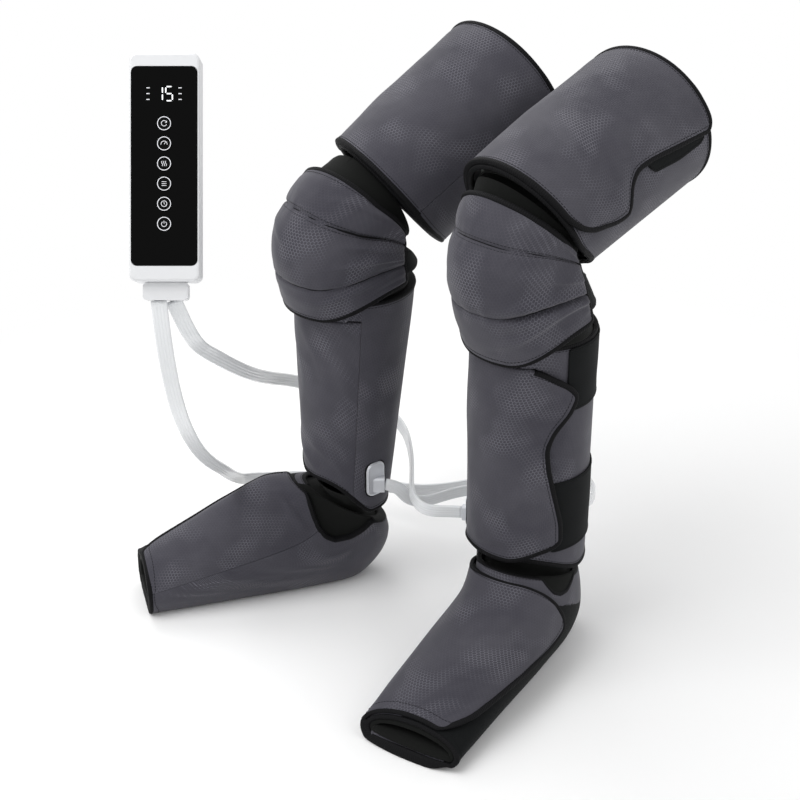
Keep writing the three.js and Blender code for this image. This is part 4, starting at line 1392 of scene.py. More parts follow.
@dataclass
class Leg:
    """One leg's wraps."""

    sizes: LegSizes
    sewing: Sewing

    def __post_init__(self) -> None:
        """Works out the leg's tubes."""
        sizes = self.sizes
        self.name = sizes.name
        calf, knee, t = sizes.calf, sizes.knee, sizes.thigh
        shank = Matrix.Translation((calf["x"], calf["y"], 0))
        yaw = Matrix.Rotation(math.radians(sizes.outward * knee["yaw"]), 4, "Z")
        pitch = Matrix.Rotation(math.radians(-knee["tilt"]), 4, "X")
        thigh = shank @ Matrix.Translation((0, knee["y"], knee["z"])) @ yaw @ pitch
        foot = shank @ Matrix.Rotation(math.radians(sizes.outward * sizes.toe_out), 4, "Z")
        self.calf_tube = self.tube(
            [
                [calf[end], calf[f"{end}_y"], calf[end], 0] + [calf[f"{end}_radius"]] * 3
                for end in ("low", "top")
            ],
            shank, 1,
        )
        self.thigh_tube = self.tube(
            [
                [t[end], -t["rise"], t[end], 0] + [t[radius]] * 3
                for end, radius in (("near", "radius"), ("far", "far_radius"))
            ],
            thigh, 1,
        )
        rows = [
            ring_between(at, (y0, z0), (y1, z1), half, shift)
            for at, y0, z0, y1, z1, half, shift in sizes.foot_rings
        ]
        self.foot_tube = self.tube(rows, foot, -1, FLAP_OUT)
        back = np.linalg.inv(np.array(shank))
        ends = self.thigh_tube.points(self.rim(np.array([0.0, 180.0])), [0.0, 180.0], 0.0)
        ends = ends @ back[:3, :3].T + back[:3, 3]
        # The yaw moves the rim a little sideways, which the knee leaves to the cloth.
        turned = np.array(yaw.inverted())[:3, :3]
        middle = np.array([0, knee["y"], knee["z"]])
        ends = (ends - middle) @ turned.T + middle
        last = ring_between(1.4, ends[0, 1:], ends[1, 1:], t["radius"])
        self.knee_tube = self.tube([*sizes.knee_rings, last], shank, 1)
        self.knee_ends = self.knee_tube.spine(0.33, 1.3)
        self.knee_owner = (self.label("knee"), "seams")
        self.seams = [seam_curve(*row) for row in sizes.knee_seams]

    def tube(self, rows: list, place: Matrix, runs: int, floor: float | None = None) -> Tube:
        """A tube of this leg.

        Args:
            rows: its rings, with the shift left out where it is nothing.
            place: its frame.
            runs: 1 where its stations run up the leg, and -1 down to the toes.
            floor: where it is flattened.

        Returns:
            The tube.
        """
        table = np.array([list(row) + [0] * (8 - len(row)) for row in rows], float)
        return Tube(table, self.sizes.outward, runs, np.array(place), floor)

    def rim(self, angle: Array) -> Array:
        """The near rim of the thigh cover.

        Args:
            angle: angles from the front.

        Returns:
            Its station at each angle.
        """
        t = self.sizes.thigh
        lean = t["near"] - t["skew"] * np.cos(np.radians(angle - t["skew_at"]))
        return lean + t["under"] * ease(np.cos(np.radians(angle)), 0, -1)

    def hem(self, angle: Array) -> Array:
        """The hem of the calf cover, high over the instep and low behind the ankle.

        Args:
            angle: angles from the front.

        Returns:
            Its height at each angle.
        """
        hem = self.sizes.hem
        share = ease(np.cos(np.radians(np.asarray(angle, float) - hem["turn"])), -0.2, 0.95)
        return hem["back"] + (hem["front"] - hem["back"]) * share

    def label(self, piece: str) -> str:
        """A piece's full name."""
        return f"{self.name}_{piece}"

    def place(
        self, piece: bpy.types.Object, body: str, slot: str, *nodes: str,
        fill: float | None = None, ends: tuple[Array, Array] | None = None,
    ) -> None:
        """Hides the CAD nodes that a finished piece stands for and puts the piece on its body, or, where ends
        are given, bakes its place into its mesh and leaves it on no body.

        Args:
            piece: the object.
            body: the body's name.
            slot: the record's material slot; not used.
            nodes: the CAD nodes that it stands for, without the leg's name.
            fill: how full a padded piece is; not used.
            ends: given for a piece that spans the joint, which then only has its place baked.
        """
        if nodes:
            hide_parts(*(self.label(n) for n in nodes))
        if ends is None:
            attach(piece, body)
        else:
            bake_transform(piece)
        LOG.info("%s is on %s", piece.name, body)

    def padded(
        self, part: str, body: str, patch: Patch, step: float, fill: float,
        ends: tuple[Array, Array] | None = None,
    ) -> None:
        """Makes a gray padded piece, which is a cover or a flap.

        Args:
            part: its name without the leg's.
            body: its body.
            patch: its shape.
            step: the distance between its vertices.
            fill: how full it is.
            ends: given where it spans a joint, and then its place is only baked.
        """
        piece = patch.build(self.label(f"{part}_cloth"), CLOTH, step)
        stands_for = part if part.endswith("flap") else f"{part}_cover"
        self.place(piece, body, "gray_cloth", stands_for, fill=fill, ends=ends)

    def stitched(
        self, patch: Patch, owner: tuple[str, ...], sides: list[Side],
        inset: float = TAPE_STITCH, last: float = 1.0,
    ) -> None:
        """Sews a line of stitches inside some edges of a patch.

        Args:
            patch: the patch.
            owner: what the stitches move with.
            sides: the edges.
            inset: how far inside them it runs.
            last: how much of the last edge it follows.
        """
        u, v = patch.edge(sides, inset, 2.5, last)
        self.sewing.line(owner, patch.face(u, v, STITCH_LIFT))

    def around(self, tube: Tube, root: float, lap: float, relief: Relief, **ends: object) -> Patch:
        """The shape of a padded cover: thin where its flap laps over it, and flush with it at its root.

        Args:
            tube: its tube.
            root: the angle where it begins.
            lap: the angle where the flap ends.
            relief: its relief.
            ends: its other fields.

        Returns:
            The patch.
        """
        return Patch(
            tube, outer=lambda a: FLAP_OUT * ease(a, lap, lap + LAP_RAMP), inner=-COVER,
            start=root, end=360 + root - LAYER_GAP, closed=True, relief=relief, **ends,
        )

    def cover(self, part: str, body: str, patch: Patch, step: float, fill: float) -> None:
        """Makes a cover that goes all round, with the tape and the stitches of its two rims.

        Args:
            part: its name without the leg's.
            body: its body.
            patch: its shape.
            step: the distance between its vertices.
            fill: how full it is.
        """
        self.padded(part, body, patch, step, fill)
        for side in (Side.LOW, Side.HIGH):
            tape = patch.tape(self.label(f"{part}_{side.value}_tape"), [side], TAPE)
            self.place(tape, body, "lining_cloth")
            self.stitched(patch, (body,), [side])

    def flap(self, part: str, patch: Patch, step: float, fill: float, last: float = 1.0) -> None:
        """Makes a flap with its tape and its stitches.

        Args:
            part: the cover that it is sewn to.
            patch: its shape.
            step: the distance between its vertices.
            fill: how full it is.
            last: how much of its upper edge the tape covers.
        """
        body, sides = self.label(f"{part}_flap"), [Side.LOW, Side.END, Side.HIGH]
        self.padded(f"{part}_flap", body, patch, step, fill)
        self.place(patch.tape(self.label(f"{part}_flap_tape"), sides, TAPE, last), body, "lining_cloth")
        self.stitched(patch, (body,), sides, last=last)

    def layer(
        self, part: str, body: str, kind: Layer, tube: Tube, low: float | Curve, high: float,
        root: float, step: float, relief: Relief | None = None,
    ) -> None:
        """Makes the air bladder or the lining inside a cover.

        Args:
            part: the cover's name.
            body: its body.
            kind: which layer.
            tube: its tube.
            low: its lower end.
            high: its upper end.
            root: the angle where it begins.
            step: the distance between its vertices.
            relief: its relief.
        """
        finish, outer, inner, slot, stands_for = {
            Layer.BLADDER: (BLADDER_CLOTH, BLADDER_OUT, BLADDER_IN, "bladder_cloth", "bladder"),
            Layer.LINING: (LINING_CLOTH, LINING_OUT, LINING_IN, "lining_cloth", "lining"),
        }[kind]
        patch = Patch(tube, low, high, outer, inner, root, root + 360, closed=True, relief=relief)
        piece = patch.build(self.label(f"{part}_{kind.value}"), finish, step)
        self.place(piece, body, slot, f"{part}_{stands_for}")

    def calf_flap_low(self, angle: Array) -> Array:
        """The calf flap's lower edge, which starts along the hem."""
        return np.minimum(self.hem(angle), float(self.hem(0.0))) + 1 + 30 * ease(angle, 20, 80)

    def calf_flap_top(self, angle: Array) -> Array:
        """The calf flap's upper edge."""
        return self.sizes.calf["top"] - 24 - 30 * ease(angle, 35, 92)

    def calf_relief(self, s: Spots) -> Array:
        """Soft waves down the back and sides of the calf cover.

        Args:
            s: the places.

        Returns:
            How far it stands out.
        """
        raised = waves(s, self.sizes.seeds["calf"], (1.1, 46, 120), (0.5, 17, 60))
        raised = raised * ease(s.rim, TAPE_BED, 24) * ease(s.angle, 150, 200) * ease(s.u, 1, 0.94)
        # Above its flap the cover is as thick as the two together.
        above = (s.at > self.calf_flap_top(s.angle) + 0.4) & (s.angle < 60)
        return raised + FLAP_OUT * above * ease(s.angle, 60, 30)

    def calf_band(self, label: str, low: float, high: float) -> None:
        """Makes one black hook and loop band on the calf cover.

        Args:
            label: which band.
            low: the height of its lower edge.
            high: the height of its upper edge.
        """
        side, under = 80.0, 10

        def begin(v: Array) -> Array:
            """Where the band comes out from under the flap.

            Args:
                v: shares of the way up the band.

            Returns:
                An angle for each.
            """
            at = low + (high - low) * np.asarray(v, float)
            bottom, top = float(self.calf_flap_low(side)), self.calf_flap_top(side)
            return CALF_FREE(np.clip((at - bottom) / float(top - bottom), 0, 1)) - under

        patch = Patch(
            self.calf_tube, low, high, BAND_IN + BAND, BAND_IN, begin, CALF_LAP - 4, corner=5,
            relief=lambda s: waves(s, self.sizes.seeds["calf"] + 4, (0.25, 22, 22)),
        )
        piece = patch.build(self.label(f"calf_{label}_loop_band"), LOOP_CLOTH)
        self.place(piece, "wraps", "lining_cloth", f"calf_band_{label}")
        self.stitched(patch, ("wraps",), [Side.LOW, Side.END, Side.HIGH], LOOP_STITCH)

    def calf(self) -> None:
        """The calf cover, its flap, its two hook and loop bands and what lies inside it."""
        tube, top, seed = self.calf_tube, self.sizes.calf["top"], self.sizes.seeds["calf"]
        cover = self.around(
            tube, CALF_ROOT, CALF_LAP, self.calf_relief, low=lambda a: self.hem(a) + TAPE_OVERHANG, high=top
        )
        self.cover("calf", "wraps", cover, 3.0, 0.5)
        look = FlapLook(1.4, 0.6, ((0.9, 30, 110), (0.35, 11, 42)), self.sizes.calf_folds, 17, 0.12)
        flap = Patch(
            tube, self.calf_flap_low, self.calf_flap_top, FLAP_OUT, FLAP_GAP, CALF_ROOT + SEAM_GAP,
            CALF_FREE, corner=16, relief=look.relief(seed + 2), sewn=True,
        )
        self.flap("calf", flap, 2.6, 0.5, 0.3)
        hem = float(self.hem(0.0))
        self.calf_band("upper", top - 82, top - 4)
        self.calf_band("lower", hem + 12, hem + 104)
        self.layer(
            "calf", "wraps", Layer.BLADDER, tube, lambda a: self.hem(a) + (HEM_MARGIN + BLADDER_MARGIN),
            top - BLADDER_MARGIN, CALF_ROOT, 8,
        )
        self.layer(
            "calf", "wraps", Layer.LINING, tube, lambda a: self.hem(a) + HEM_MARGIN, top - LINING_MARGIN,
            CALF_ROOT, 5, lambda s: waves(s, seed + 5, (0.3, 25, 60)) - 0.3,
        )

    def thigh(self) -> None:
        """The thigh cover, its flap, its loop patch and what lies inside it."""
        tube, far, seed = self.thigh_tube, self.sizes.thigh["far"], self.sizes.seeds["thigh"]
        body = self.label("thigh")

        def relief(s: Spots) -> Array:
            """Soft unevenness where no flap lies."""
            raised = waves(s, seed, (0.9, 55, 75), (0.3, 20, 30))
            return raised * ease(s.rim, TAPE_BED, 22) * ease(s.angle, 150, 200) * ease(s.u, 1, 0.95)

        cover = self.around(tube, THIGH_ROOT, THIGH_LAP, relief, low=self.rim, high=far)
        self.cover("thigh", body, cover, 3.0, 0.6)
        look = FlapLook(
            2.2, 0.4, ((0.8, 60, 60), (0.25, 16, 26)),
            [(0.25, 0.15, 0.6, 0.9, 26, 1.1), (0.55, 0.1, 0.85, 0.5, 16, 1.0)], 19, 0.1,
        )
        flap = Patch(
            tube, lambda a: self.rim(a) + 1 + 20 * ease(a, 62, 104), far - 1, FLAP_OUT, FLAP_GAP,
            THIGH_ROOT + SEAM_GAP, THIGH_FREE, corner=15, relief=look.relief(seed + 2), sewn=True,
        )
        self.flap("thigh", flap, 2.8, 0.6)
        loop = Patch(
            tube, far - 112, far - 12, BAND_IN + BAND, BAND_IN - 0.3, 52, LOOP_FREE, corner=12,
            relief=lambda s: waves(s, seed + 4, (0.2, 20, 20)),
        )
        self.place(loop.build(self.label("thigh_loop_patch"), LOOP_CLOTH), body, "lining_cloth")
        self.stitched(loop, (body,), list(Side), LOOP_STITCH)
        for kind, margin, step in ((Layer.BLADDER, BLADDER_MARGIN, 8), (Layer.LINING, LINING_MARGIN, 5)):
            self.layer(
                "thigh", body, kind, tube, lambda a, m=margin: self.rim(a) + m, far - margin, THIGH_ROOT, step
            )

    def knee_relief(self, s: Spots) -> Array:
        """Three pads with a sewn channel between each two, and folds that fan from the sides.

        Args:
            s: the places.

        Returns:
            How far the knee cover stands out.
        """
        seed, height = self.sizes.seeds["knee"], s.y.max()
        marks = [np.zeros_like(s.u), *(seam(s.u) for seam in self.seams), np.ones_like(s.u)]
        total = np.zeros_like(s.u)
        for low, high, pad in zip(marks[:-1], marks[1:], KNEE_PADS, strict=True):
            share = np.clip((s.v - low) / (high - low), 0, 1)
            total = total + pad * np.sin(np.pi * share) ** 0.6 * ((s.v >= low) & (s.v <= high))
        for seam in self.seams:
            off = (s.v - seam(s.u)) * height
            total = total - 1.9 * bump(off, 2.6)
            total = total + 0.7 * (noise(s.x / 7.0, s.y / 30, seed + 9) * bump(off, 13))
        if self.name == "left":
            # The lower seam of the left knee sinks into a deep fold on its outer half.
            deep = ease(s.u, 0.56, 0.72) * ease(s.u, 1.0, 0.93)
            off = (s.v - self.seams[0](s.u)) * height
            total = total + deep * (3.6 * bump(off - 10, 8) + 4.2 * bump(off + 9, 7) - 5.0 * bump(off, 3.4))
        side = ease(np.abs(s.u - 0.5) * 2, 0.45, 0.95)
        total = total + 1.5 * side * noise(s.x / 40 + 3, s.y / 9.5, seed)
        total = total + 0.7 * noise(s.x / 24, s.y / 16, seed + 1)
        total = total + 0.5 * noise(s.x / 60, s.y / 30, seed + 2)
        return (total + folds(s, self.sizes.knee_folds) - 1.2) * ease(s.rim, TAPE_BED - 1, 14)

    def knee_cover(self) -> None:
        """The quilted knee cover, its tape, its seams and their stitches."""
        body, ends = self.label("thigh"), self.knee_ends
        cover = Patch(
            self.knee_tube,
            lambda a: 0.22 * ease(np.abs(a), 20, 100),
            lambda a: 1 - self.sizes.knee_drop * ease(np.cos(np.radians(a)), -0.3, 0.6),
            0.0, -COVER, -KNEE_SIDE, KNEE_SIDE, corner=14, relief=self.knee_relief,
        )
        self.padded("knee", body, cover, 2.4, 0.7, ends)
        self.place(cover.tape(self.label("knee_tape"), list(Side), TAPE), body, "lining_cloth", ends=ends)
        self.stitched(cover, self.knee_owner, list(Side))
        u = np.linspace(0.01, 0.99, 150)
        for i, seam in enumerate(self.seams, 1):
            for apart in (-SEAM_STITCH, SEAM_STITCH):
                self.sewing.line(self.knee_owner, cover.face(u, seam(u) + apart / cover.size[1], STITCH_LIFT))
            centres = cover.face(u, seam(u))
            normals = unit(cover.face(u, seam(u), 1.0) - centres)
            across = unit(np.cross(slope(centres, False), normals))
            section = superellipse(1.0, 0.7, 2, 8)
            cord = sweep(self.label(f"knee_seam_{i}"), centres, across, normals, section, False, THREAD)
            self.place(cord, body, "lining_cloth", ends=ends)

    def knee(self) -> None:
        """The knee cover with its heater, its lining and its strap."""
        self.knee_cover()
        tube, seed, t = self.knee_tube, self.sizes.seeds["knee"], self.sizes.thigh
        heater = Patch(tube, 0.36, 0.86, HEATER_OUT, HEATER_OUT - HEATER, -50, 50, corner=8)
        skew = 0.01 * t["skew"]
        lining = Patch(
            tube, self.sizes.lining_from,
            lambda a: 1.275 - skew * np.sin(np.radians(a)) * math.sin(math.radians(t["skew_at"])),
            KNEE_LINING_OUT, KNEE_LINING_OUT - LINING, 0, 360, closed=True,
            relief=lambda s: waves(s, seed + 5, (0.5, 30, 14)) - 0.4,
        )
        side, loose = KNEE_SIDE + LAYER_GAP, self.sizes.strap_loose
        strap = Patch(
            tube, 0.31, 0.68, -1.0, -1.0 - BAND, side - 4, 364 - side, corner=4,
            relief=lambda s: waves(s, seed + 6, (0.4, 20, 12)) + loose * np.sin(np.pi * s.u) ** 0.5,
        )
        for patch, label, finish, step, slot, stands_for in (
            (heater, "knee_heater_film", HEATER_FILM, 6, "heater_film", "knee_heater"),
            (lining, "knee_inner_lining", LINING_CLOTH, 4, "lining_cloth", "knee_lining"),
            (strap, "knee_elastic_strap", LOOP_CLOTH, 3.0, "lining_cloth", "knee_strap"),
        ):
            piece = patch.build(self.label(label), finish, step)
            self.place(piece, self.label("thigh"), slot, stands_for, ends=self.knee_ends)
        self.stitched(strap, self.knee_owner, [Side.LOW, Side.HIGH], LOOP_STITCH)

    def ankle_rim(self, angle: Array) -> Array:
        """The foot cover's rim at the ankle, as a station for each angle."""
        return np.interp((np.asarray(angle, float) + 180) % 360 - 180, *self.sizes.ankle_opening)

    def foot_flap_low(self, angle: Array) -> Array:
        """The foot flap's edge at the ankle.

        Args:
            angle: angles from the instep.

        Returns:
            Its station at each angle.
        """
        if self.name == "right":
            return np.maximum(0.125, self.ankle_rim(angle))
        return 0.125 + 0.3 * ease(angle, 22, 112)

    def foot_cover(self) -> None:
        """The foot cover and the cloth under its opening."""
        tube, seed, body = self.foot_tube, self.sizes.seeds["foot"], self.label("foot")

        def relief(s: Spots) -> Array:
            """Soft waves round the heel and the sides, and a flat sole.

            Args:
                s: the places.

            Returns:
                A height for each.
            """
            sole = ease(s.at, 0.3, 0.45) * ease(np.abs(s.angle - 180), 75, 45)
            raised = waves(s, seed, (1.0, 34, 40), (0.4, 14, 18))
            lapped = 1 - ease(s.angle, 160, 125)
            return raised * ease(s.rim, TAPE_BED, 18) * (1 - sole) * lapped * ease(s.u, 1, 0.94)

        insert = self.sizes.ankle_insert
        patch = Patch(
            tube, 0.0, insert["deep"], insert["outer"], insert["outer"] - 2.6, insert["start"], insert["end"],
            corner=8,
        )
        self.place(patch.build(self.label("ankle_inner_cloth"), LINING_CLOTH), body, "lining_cloth")
        # The side that its flap closes on is black loop cloth.
        last, first = self.sizes.loop_area
        cover = self.around(
            tube, FOOT_ROOT, FOOT_LAP, relief, low=lambda a: np.maximum(self.ankle_rim(a), 0.02), high=1.0,
            dark=lambda angle, at: (angle > -20) & (angle < last) & (at > first),
        )
        if self.name == "right":
            # Beyond its short flap the cover is as full as the layers that the flap would add.
            lapped = cover.outer
            cover.outer = lambda a: np.maximum(lapped(a), FLAP_OUT * (0.55 * ease(a, 28, 60)))
        self.cover("foot", body, cover, 2.8, 0.5)

    def foot(self) -> None:
        """The foot cover, its flap, its inner layers and the gusset at the ankle."""
        self.foot_cover()
        tube, body = self.foot_tube, self.label("foot")
        look = FlapLook(2.4, 0.3, ((0.8, 36, 60), (0.3, 14, 22)), self.sizes.foot_folds, 16, 0.12)
        flap = Patch(
            tube, self.foot_flap_low, 1.0, FLAP_OUT, FOOT_FLAP_GAP,
            FOOT_ROOT + SEAM_GAP, self.sizes.foot_free,
            corner=self.sizes.foot_corner, relief=look.relief(self.sizes.seeds["foot"] + 2), sewn=True,
        )
        self.flap("foot", flap, 2.6, 0.6)
        self.layer("foot", body, Layer.BLADDER, tube, 0.25, 0.875, FOOT_ROOT, 7)
        widen = BLADDER + LAYER_GAP
        self.layer(
            "foot", body, Layer.LINING, tube, 0.125, 1.0, FOOT_ROOT, 5,
            lambda s: widen * ease(s.at, 0.875, 1.0),
        )
        self.gusset()

    def gusset(self) -> None:
        """The black cloth between the calf lining and the foot."""
        hem, calf = self.sizes.hem, self.calf_tube
        side = float(self.hem(90 + hem["turn"]))
        upper = calf.ring_at(np.array([side]))[0]
        first, second = self.foot_tube.ring_at(np.array([0.0, 0.1]))
        narrow = min(first[4], upper[4] - 2) - 3.8
        rings = [
            [0, *second[1:]],
            [0.4, *first[1:4], narrow, narrow, narrow, first[7] / 2],
            [1, upper[1], side + HEM_MARGIN - 7, 14, upper[4], upper[5], upper[6] + 0.4, -0.6],
        ]
        tube = Tube(np.array(rings, float), self.sizes.outward, 1, self.foot_tube.place)
        outer = -(COVER + 2 * LAYER_GAP + 0.6)
        patch = Patch(
            tube, 0.0, 1.0, outer, outer - LINING, 0, 360, closed=True,
            relief=lambda s: waves(s, 5, (0.4, 18, 8)) - 0.3,
        )
        piece = patch.build(self.label("ankle_gusset_cloth"), LINING_CLOTH, 4)
        self.place(piece, self.label("foot"), "lining_cloth", "ankle_gusset", ends=tube.spine(0.95, 0.25))

    def build(self) -> None:
        """Makes the whole leg."""
        for part in (self.calf, self.thigh, self.knee, self.foot):
            part()


# The hoses


@dataclass(frozen=True)
class HoseSizes:
    """The section of a hose and how it leaves the plug, as in the CAD source."""

    width: float = 16.0
    thick: float = 4.5
    apart_x: float = 14.0
    apart_z: float = 6.4
    step: float = 4.0
    lead: float = 14.0
    ribs: int = 5
    rib_depth: float = 0.11  # as a share of its thickness
    calm_open: float = 13  # how many points are mixed to even it out where it hangs in the open
    calm_hidden: float = 5
    calm_turn: float = 14


CONTROLLER_AT = (-35.0, -345.0, 649.0)
AIM = (46.0, 27.5)
CASE_LENGTH, CASE_DEPTH = 221.0, 34.0
PLUG_TOP = -CASE_LENGTH / 2 - LAYER_GAP
PLUG_LENGTH = 17.3
GLAND_SOCKET, GLAND_SOCKET_Y = 12.0, -9.0
GLAND_HALF, GLAND_CORNER = (13.5, 22.5), 10.0
GLANDS = {"right": (168.0, -84.0, 55.0), "left": (154.0, -72.0, 15.0)}  # height, angle and lean
OPEN_END = (320, 440)  # mm along a hose, from its open part to the part behind the leg
# Each point of a route and, where the hose isn't in the open, the way that its flat side faces there.
ROUTES = {
    "right": [
        [15.4, -398.2, 494.1], [12.5, -392.5, 458.2], [-3.7, -373.6, 408.2], [-37.2, -337.4, 351.3],
        [-92.4, -278.1, 279.3], [-159.7, -201, 204.4], [-225, -127, 136], [-276, -53, 84],
        [-264, 30, 58, 0.6, -0.3, 0.8], [-206, 82, 50, 0.5, -0.8, 0.5],
        [-130, 118, 58, 0.5, -0.9, 0.3], [-60, 176, 80, 0.6, -0.8, 0.2],
        [8, 222, 104, 0.3, -1, 0], [66, 214, 109, -0.6, -0.8, 0],
        [96, 172, 114, -1, 0, 0], [74, 128, 120, -0.7, 0.7, 0],
        [28, 112, 122, -0.4, 0.9, 0], [-12, 92, 121, -0.7, 0.7, 0.1],
        [-38, 60, 115, -0.9, 0.3, 0.1], [-44, 27, 115, -1, 0.1, 0.1],
        [-48, -2, 128, -0.9, 0.3, 0.1],
    ],
    "left": [
        [19, -372, 505], [6, -355, 478], [-33.2, -308.1, 439], [-77.9, -246.5, 388],
        [-133.8, -170.2, 328.9], [-196, -88, 272], [-243, -12, 224],
        [-240, 50, 190, 0.8, -0.3, 0.5], [-196, 90, 168, 0.3, -0.9, 0.3],
        [-148, 84, 160, -0.4, -0.9, 0.2], [-106, 57, 158, -0.6, -0.8, 0.1],
        [-72, 28, 157, -0.6, -0.8, 0.1], [-45, 1, 157, -0.6, -0.8, 0.1],
        [-23, -20, 151, -0.3, -1, 0.2], [-6, -26, 144, 0, -1, 0.2],
        [8, -20, 142, 0.4, -0.9, 0.1],
    ],
}


def smooth_line(points: Array, times: Array | None = None, count: int = 3000) -> tuple[Array, Array]:
    """A line through points, its knots spaced by the root of their distance.

    Args:
        points: the points.
        times: where to take the line, with one unit a point, or None for even steps.
        count: how many steps.

    Returns:
        The points of the line and where they were taken.
    """
    points = np.asarray(points, float)
    times = np.linspace(0, len(points) - 1, count) if times is None else times
    padded = np.vstack([2 * points[0] - points[1], points, 2 * points[-1] - points[-2]])
    i = np.minimum(times.astype(int), len(points) - 2)
    t = (times - i)[:, None]
    p = [padded[i + k] for k in range(4)]
    gap = [np.linalg.norm(p[k + 1] - p[k], axis=1)[:, None] ** 0.5 for k in range(3)]
    gap[1] = np.where(gap[1] < 1e-4, 1.0, gap[1])
    gap[0] = np.where(gap[0] < 1e-4, gap[1], gap[0])
    gap[2] = np.where(gap[2] < 1e-4, gap[1], gap[2])
    first = ((p[1] - p[0]) / gap[0] - (p[2] - p[0]) / (gap[0] + gap[1]) + (p[2] - p[1]) / gap[1]) * gap[1]
    last = ((p[2] - p[1]) / gap[1] - (p[3] - p[1]) / (gap[1] + gap[2]) + (p[3] - p[2]) / gap[2]) * gap[1]
    rise = p[2] - p[1]
    line = p[1] + first * t + (3 * rise - 2 * first - last) * t**2 + (first + last - 2 * rise) * t**3
    return line, times


def settle(line: Array, wide: float) -> Array:
    """Evens out a row of vectors, and keeps its two ends.

    Args:
        line: the vectors.
        wide: how many of them are mixed.

    Returns:
        The smoother row.
    """
    reach = int(3 * wide)
    weights = bump(np.arange(-reach, reach + 1), wide)
    weights /= weights.sum()
    ends = 2 * line[0] - line[reach:0:-1], 2 * line[-1] - line[-2 : -2 - reach : -1]
    padded = np.vstack([ends[0], line, ends[1]])
    return np.column_stack([np.convolve(padded[:, k], weights, mode="valid") for k in range(3)])


def toward(azimuth: float, elevation: float) -> Vector:
    """The way from the object to a place round it.

    Args:
        azimuth: degrees round from the front, to the wearer's left.
        elevation: degrees up.

    Returns:
        A vector of length 1.
    """
    a, e = math.radians(azimuth), math.radians(elevation)
    return Vector((math.sin(a) * math.cos(e), -math.cos(a) * math.cos(e), math.sin(e)))


def controller_frame() -> Matrix:
    """The controller's frame: x to its right, y up its length and z out of its face, in mm.

    Returns:
        The frame.
    """
    azimuth, out = math.radians(AIM[0]), toward(*AIM)
    right = Vector((math.cos(azimuth), math.sin(azimuth), 0))
    up = out.cross(right)
    made = Matrix((right, up, out)).transposed().to_4x4()
    made.translation = Vector(CONTROLLER_AT)
    return made


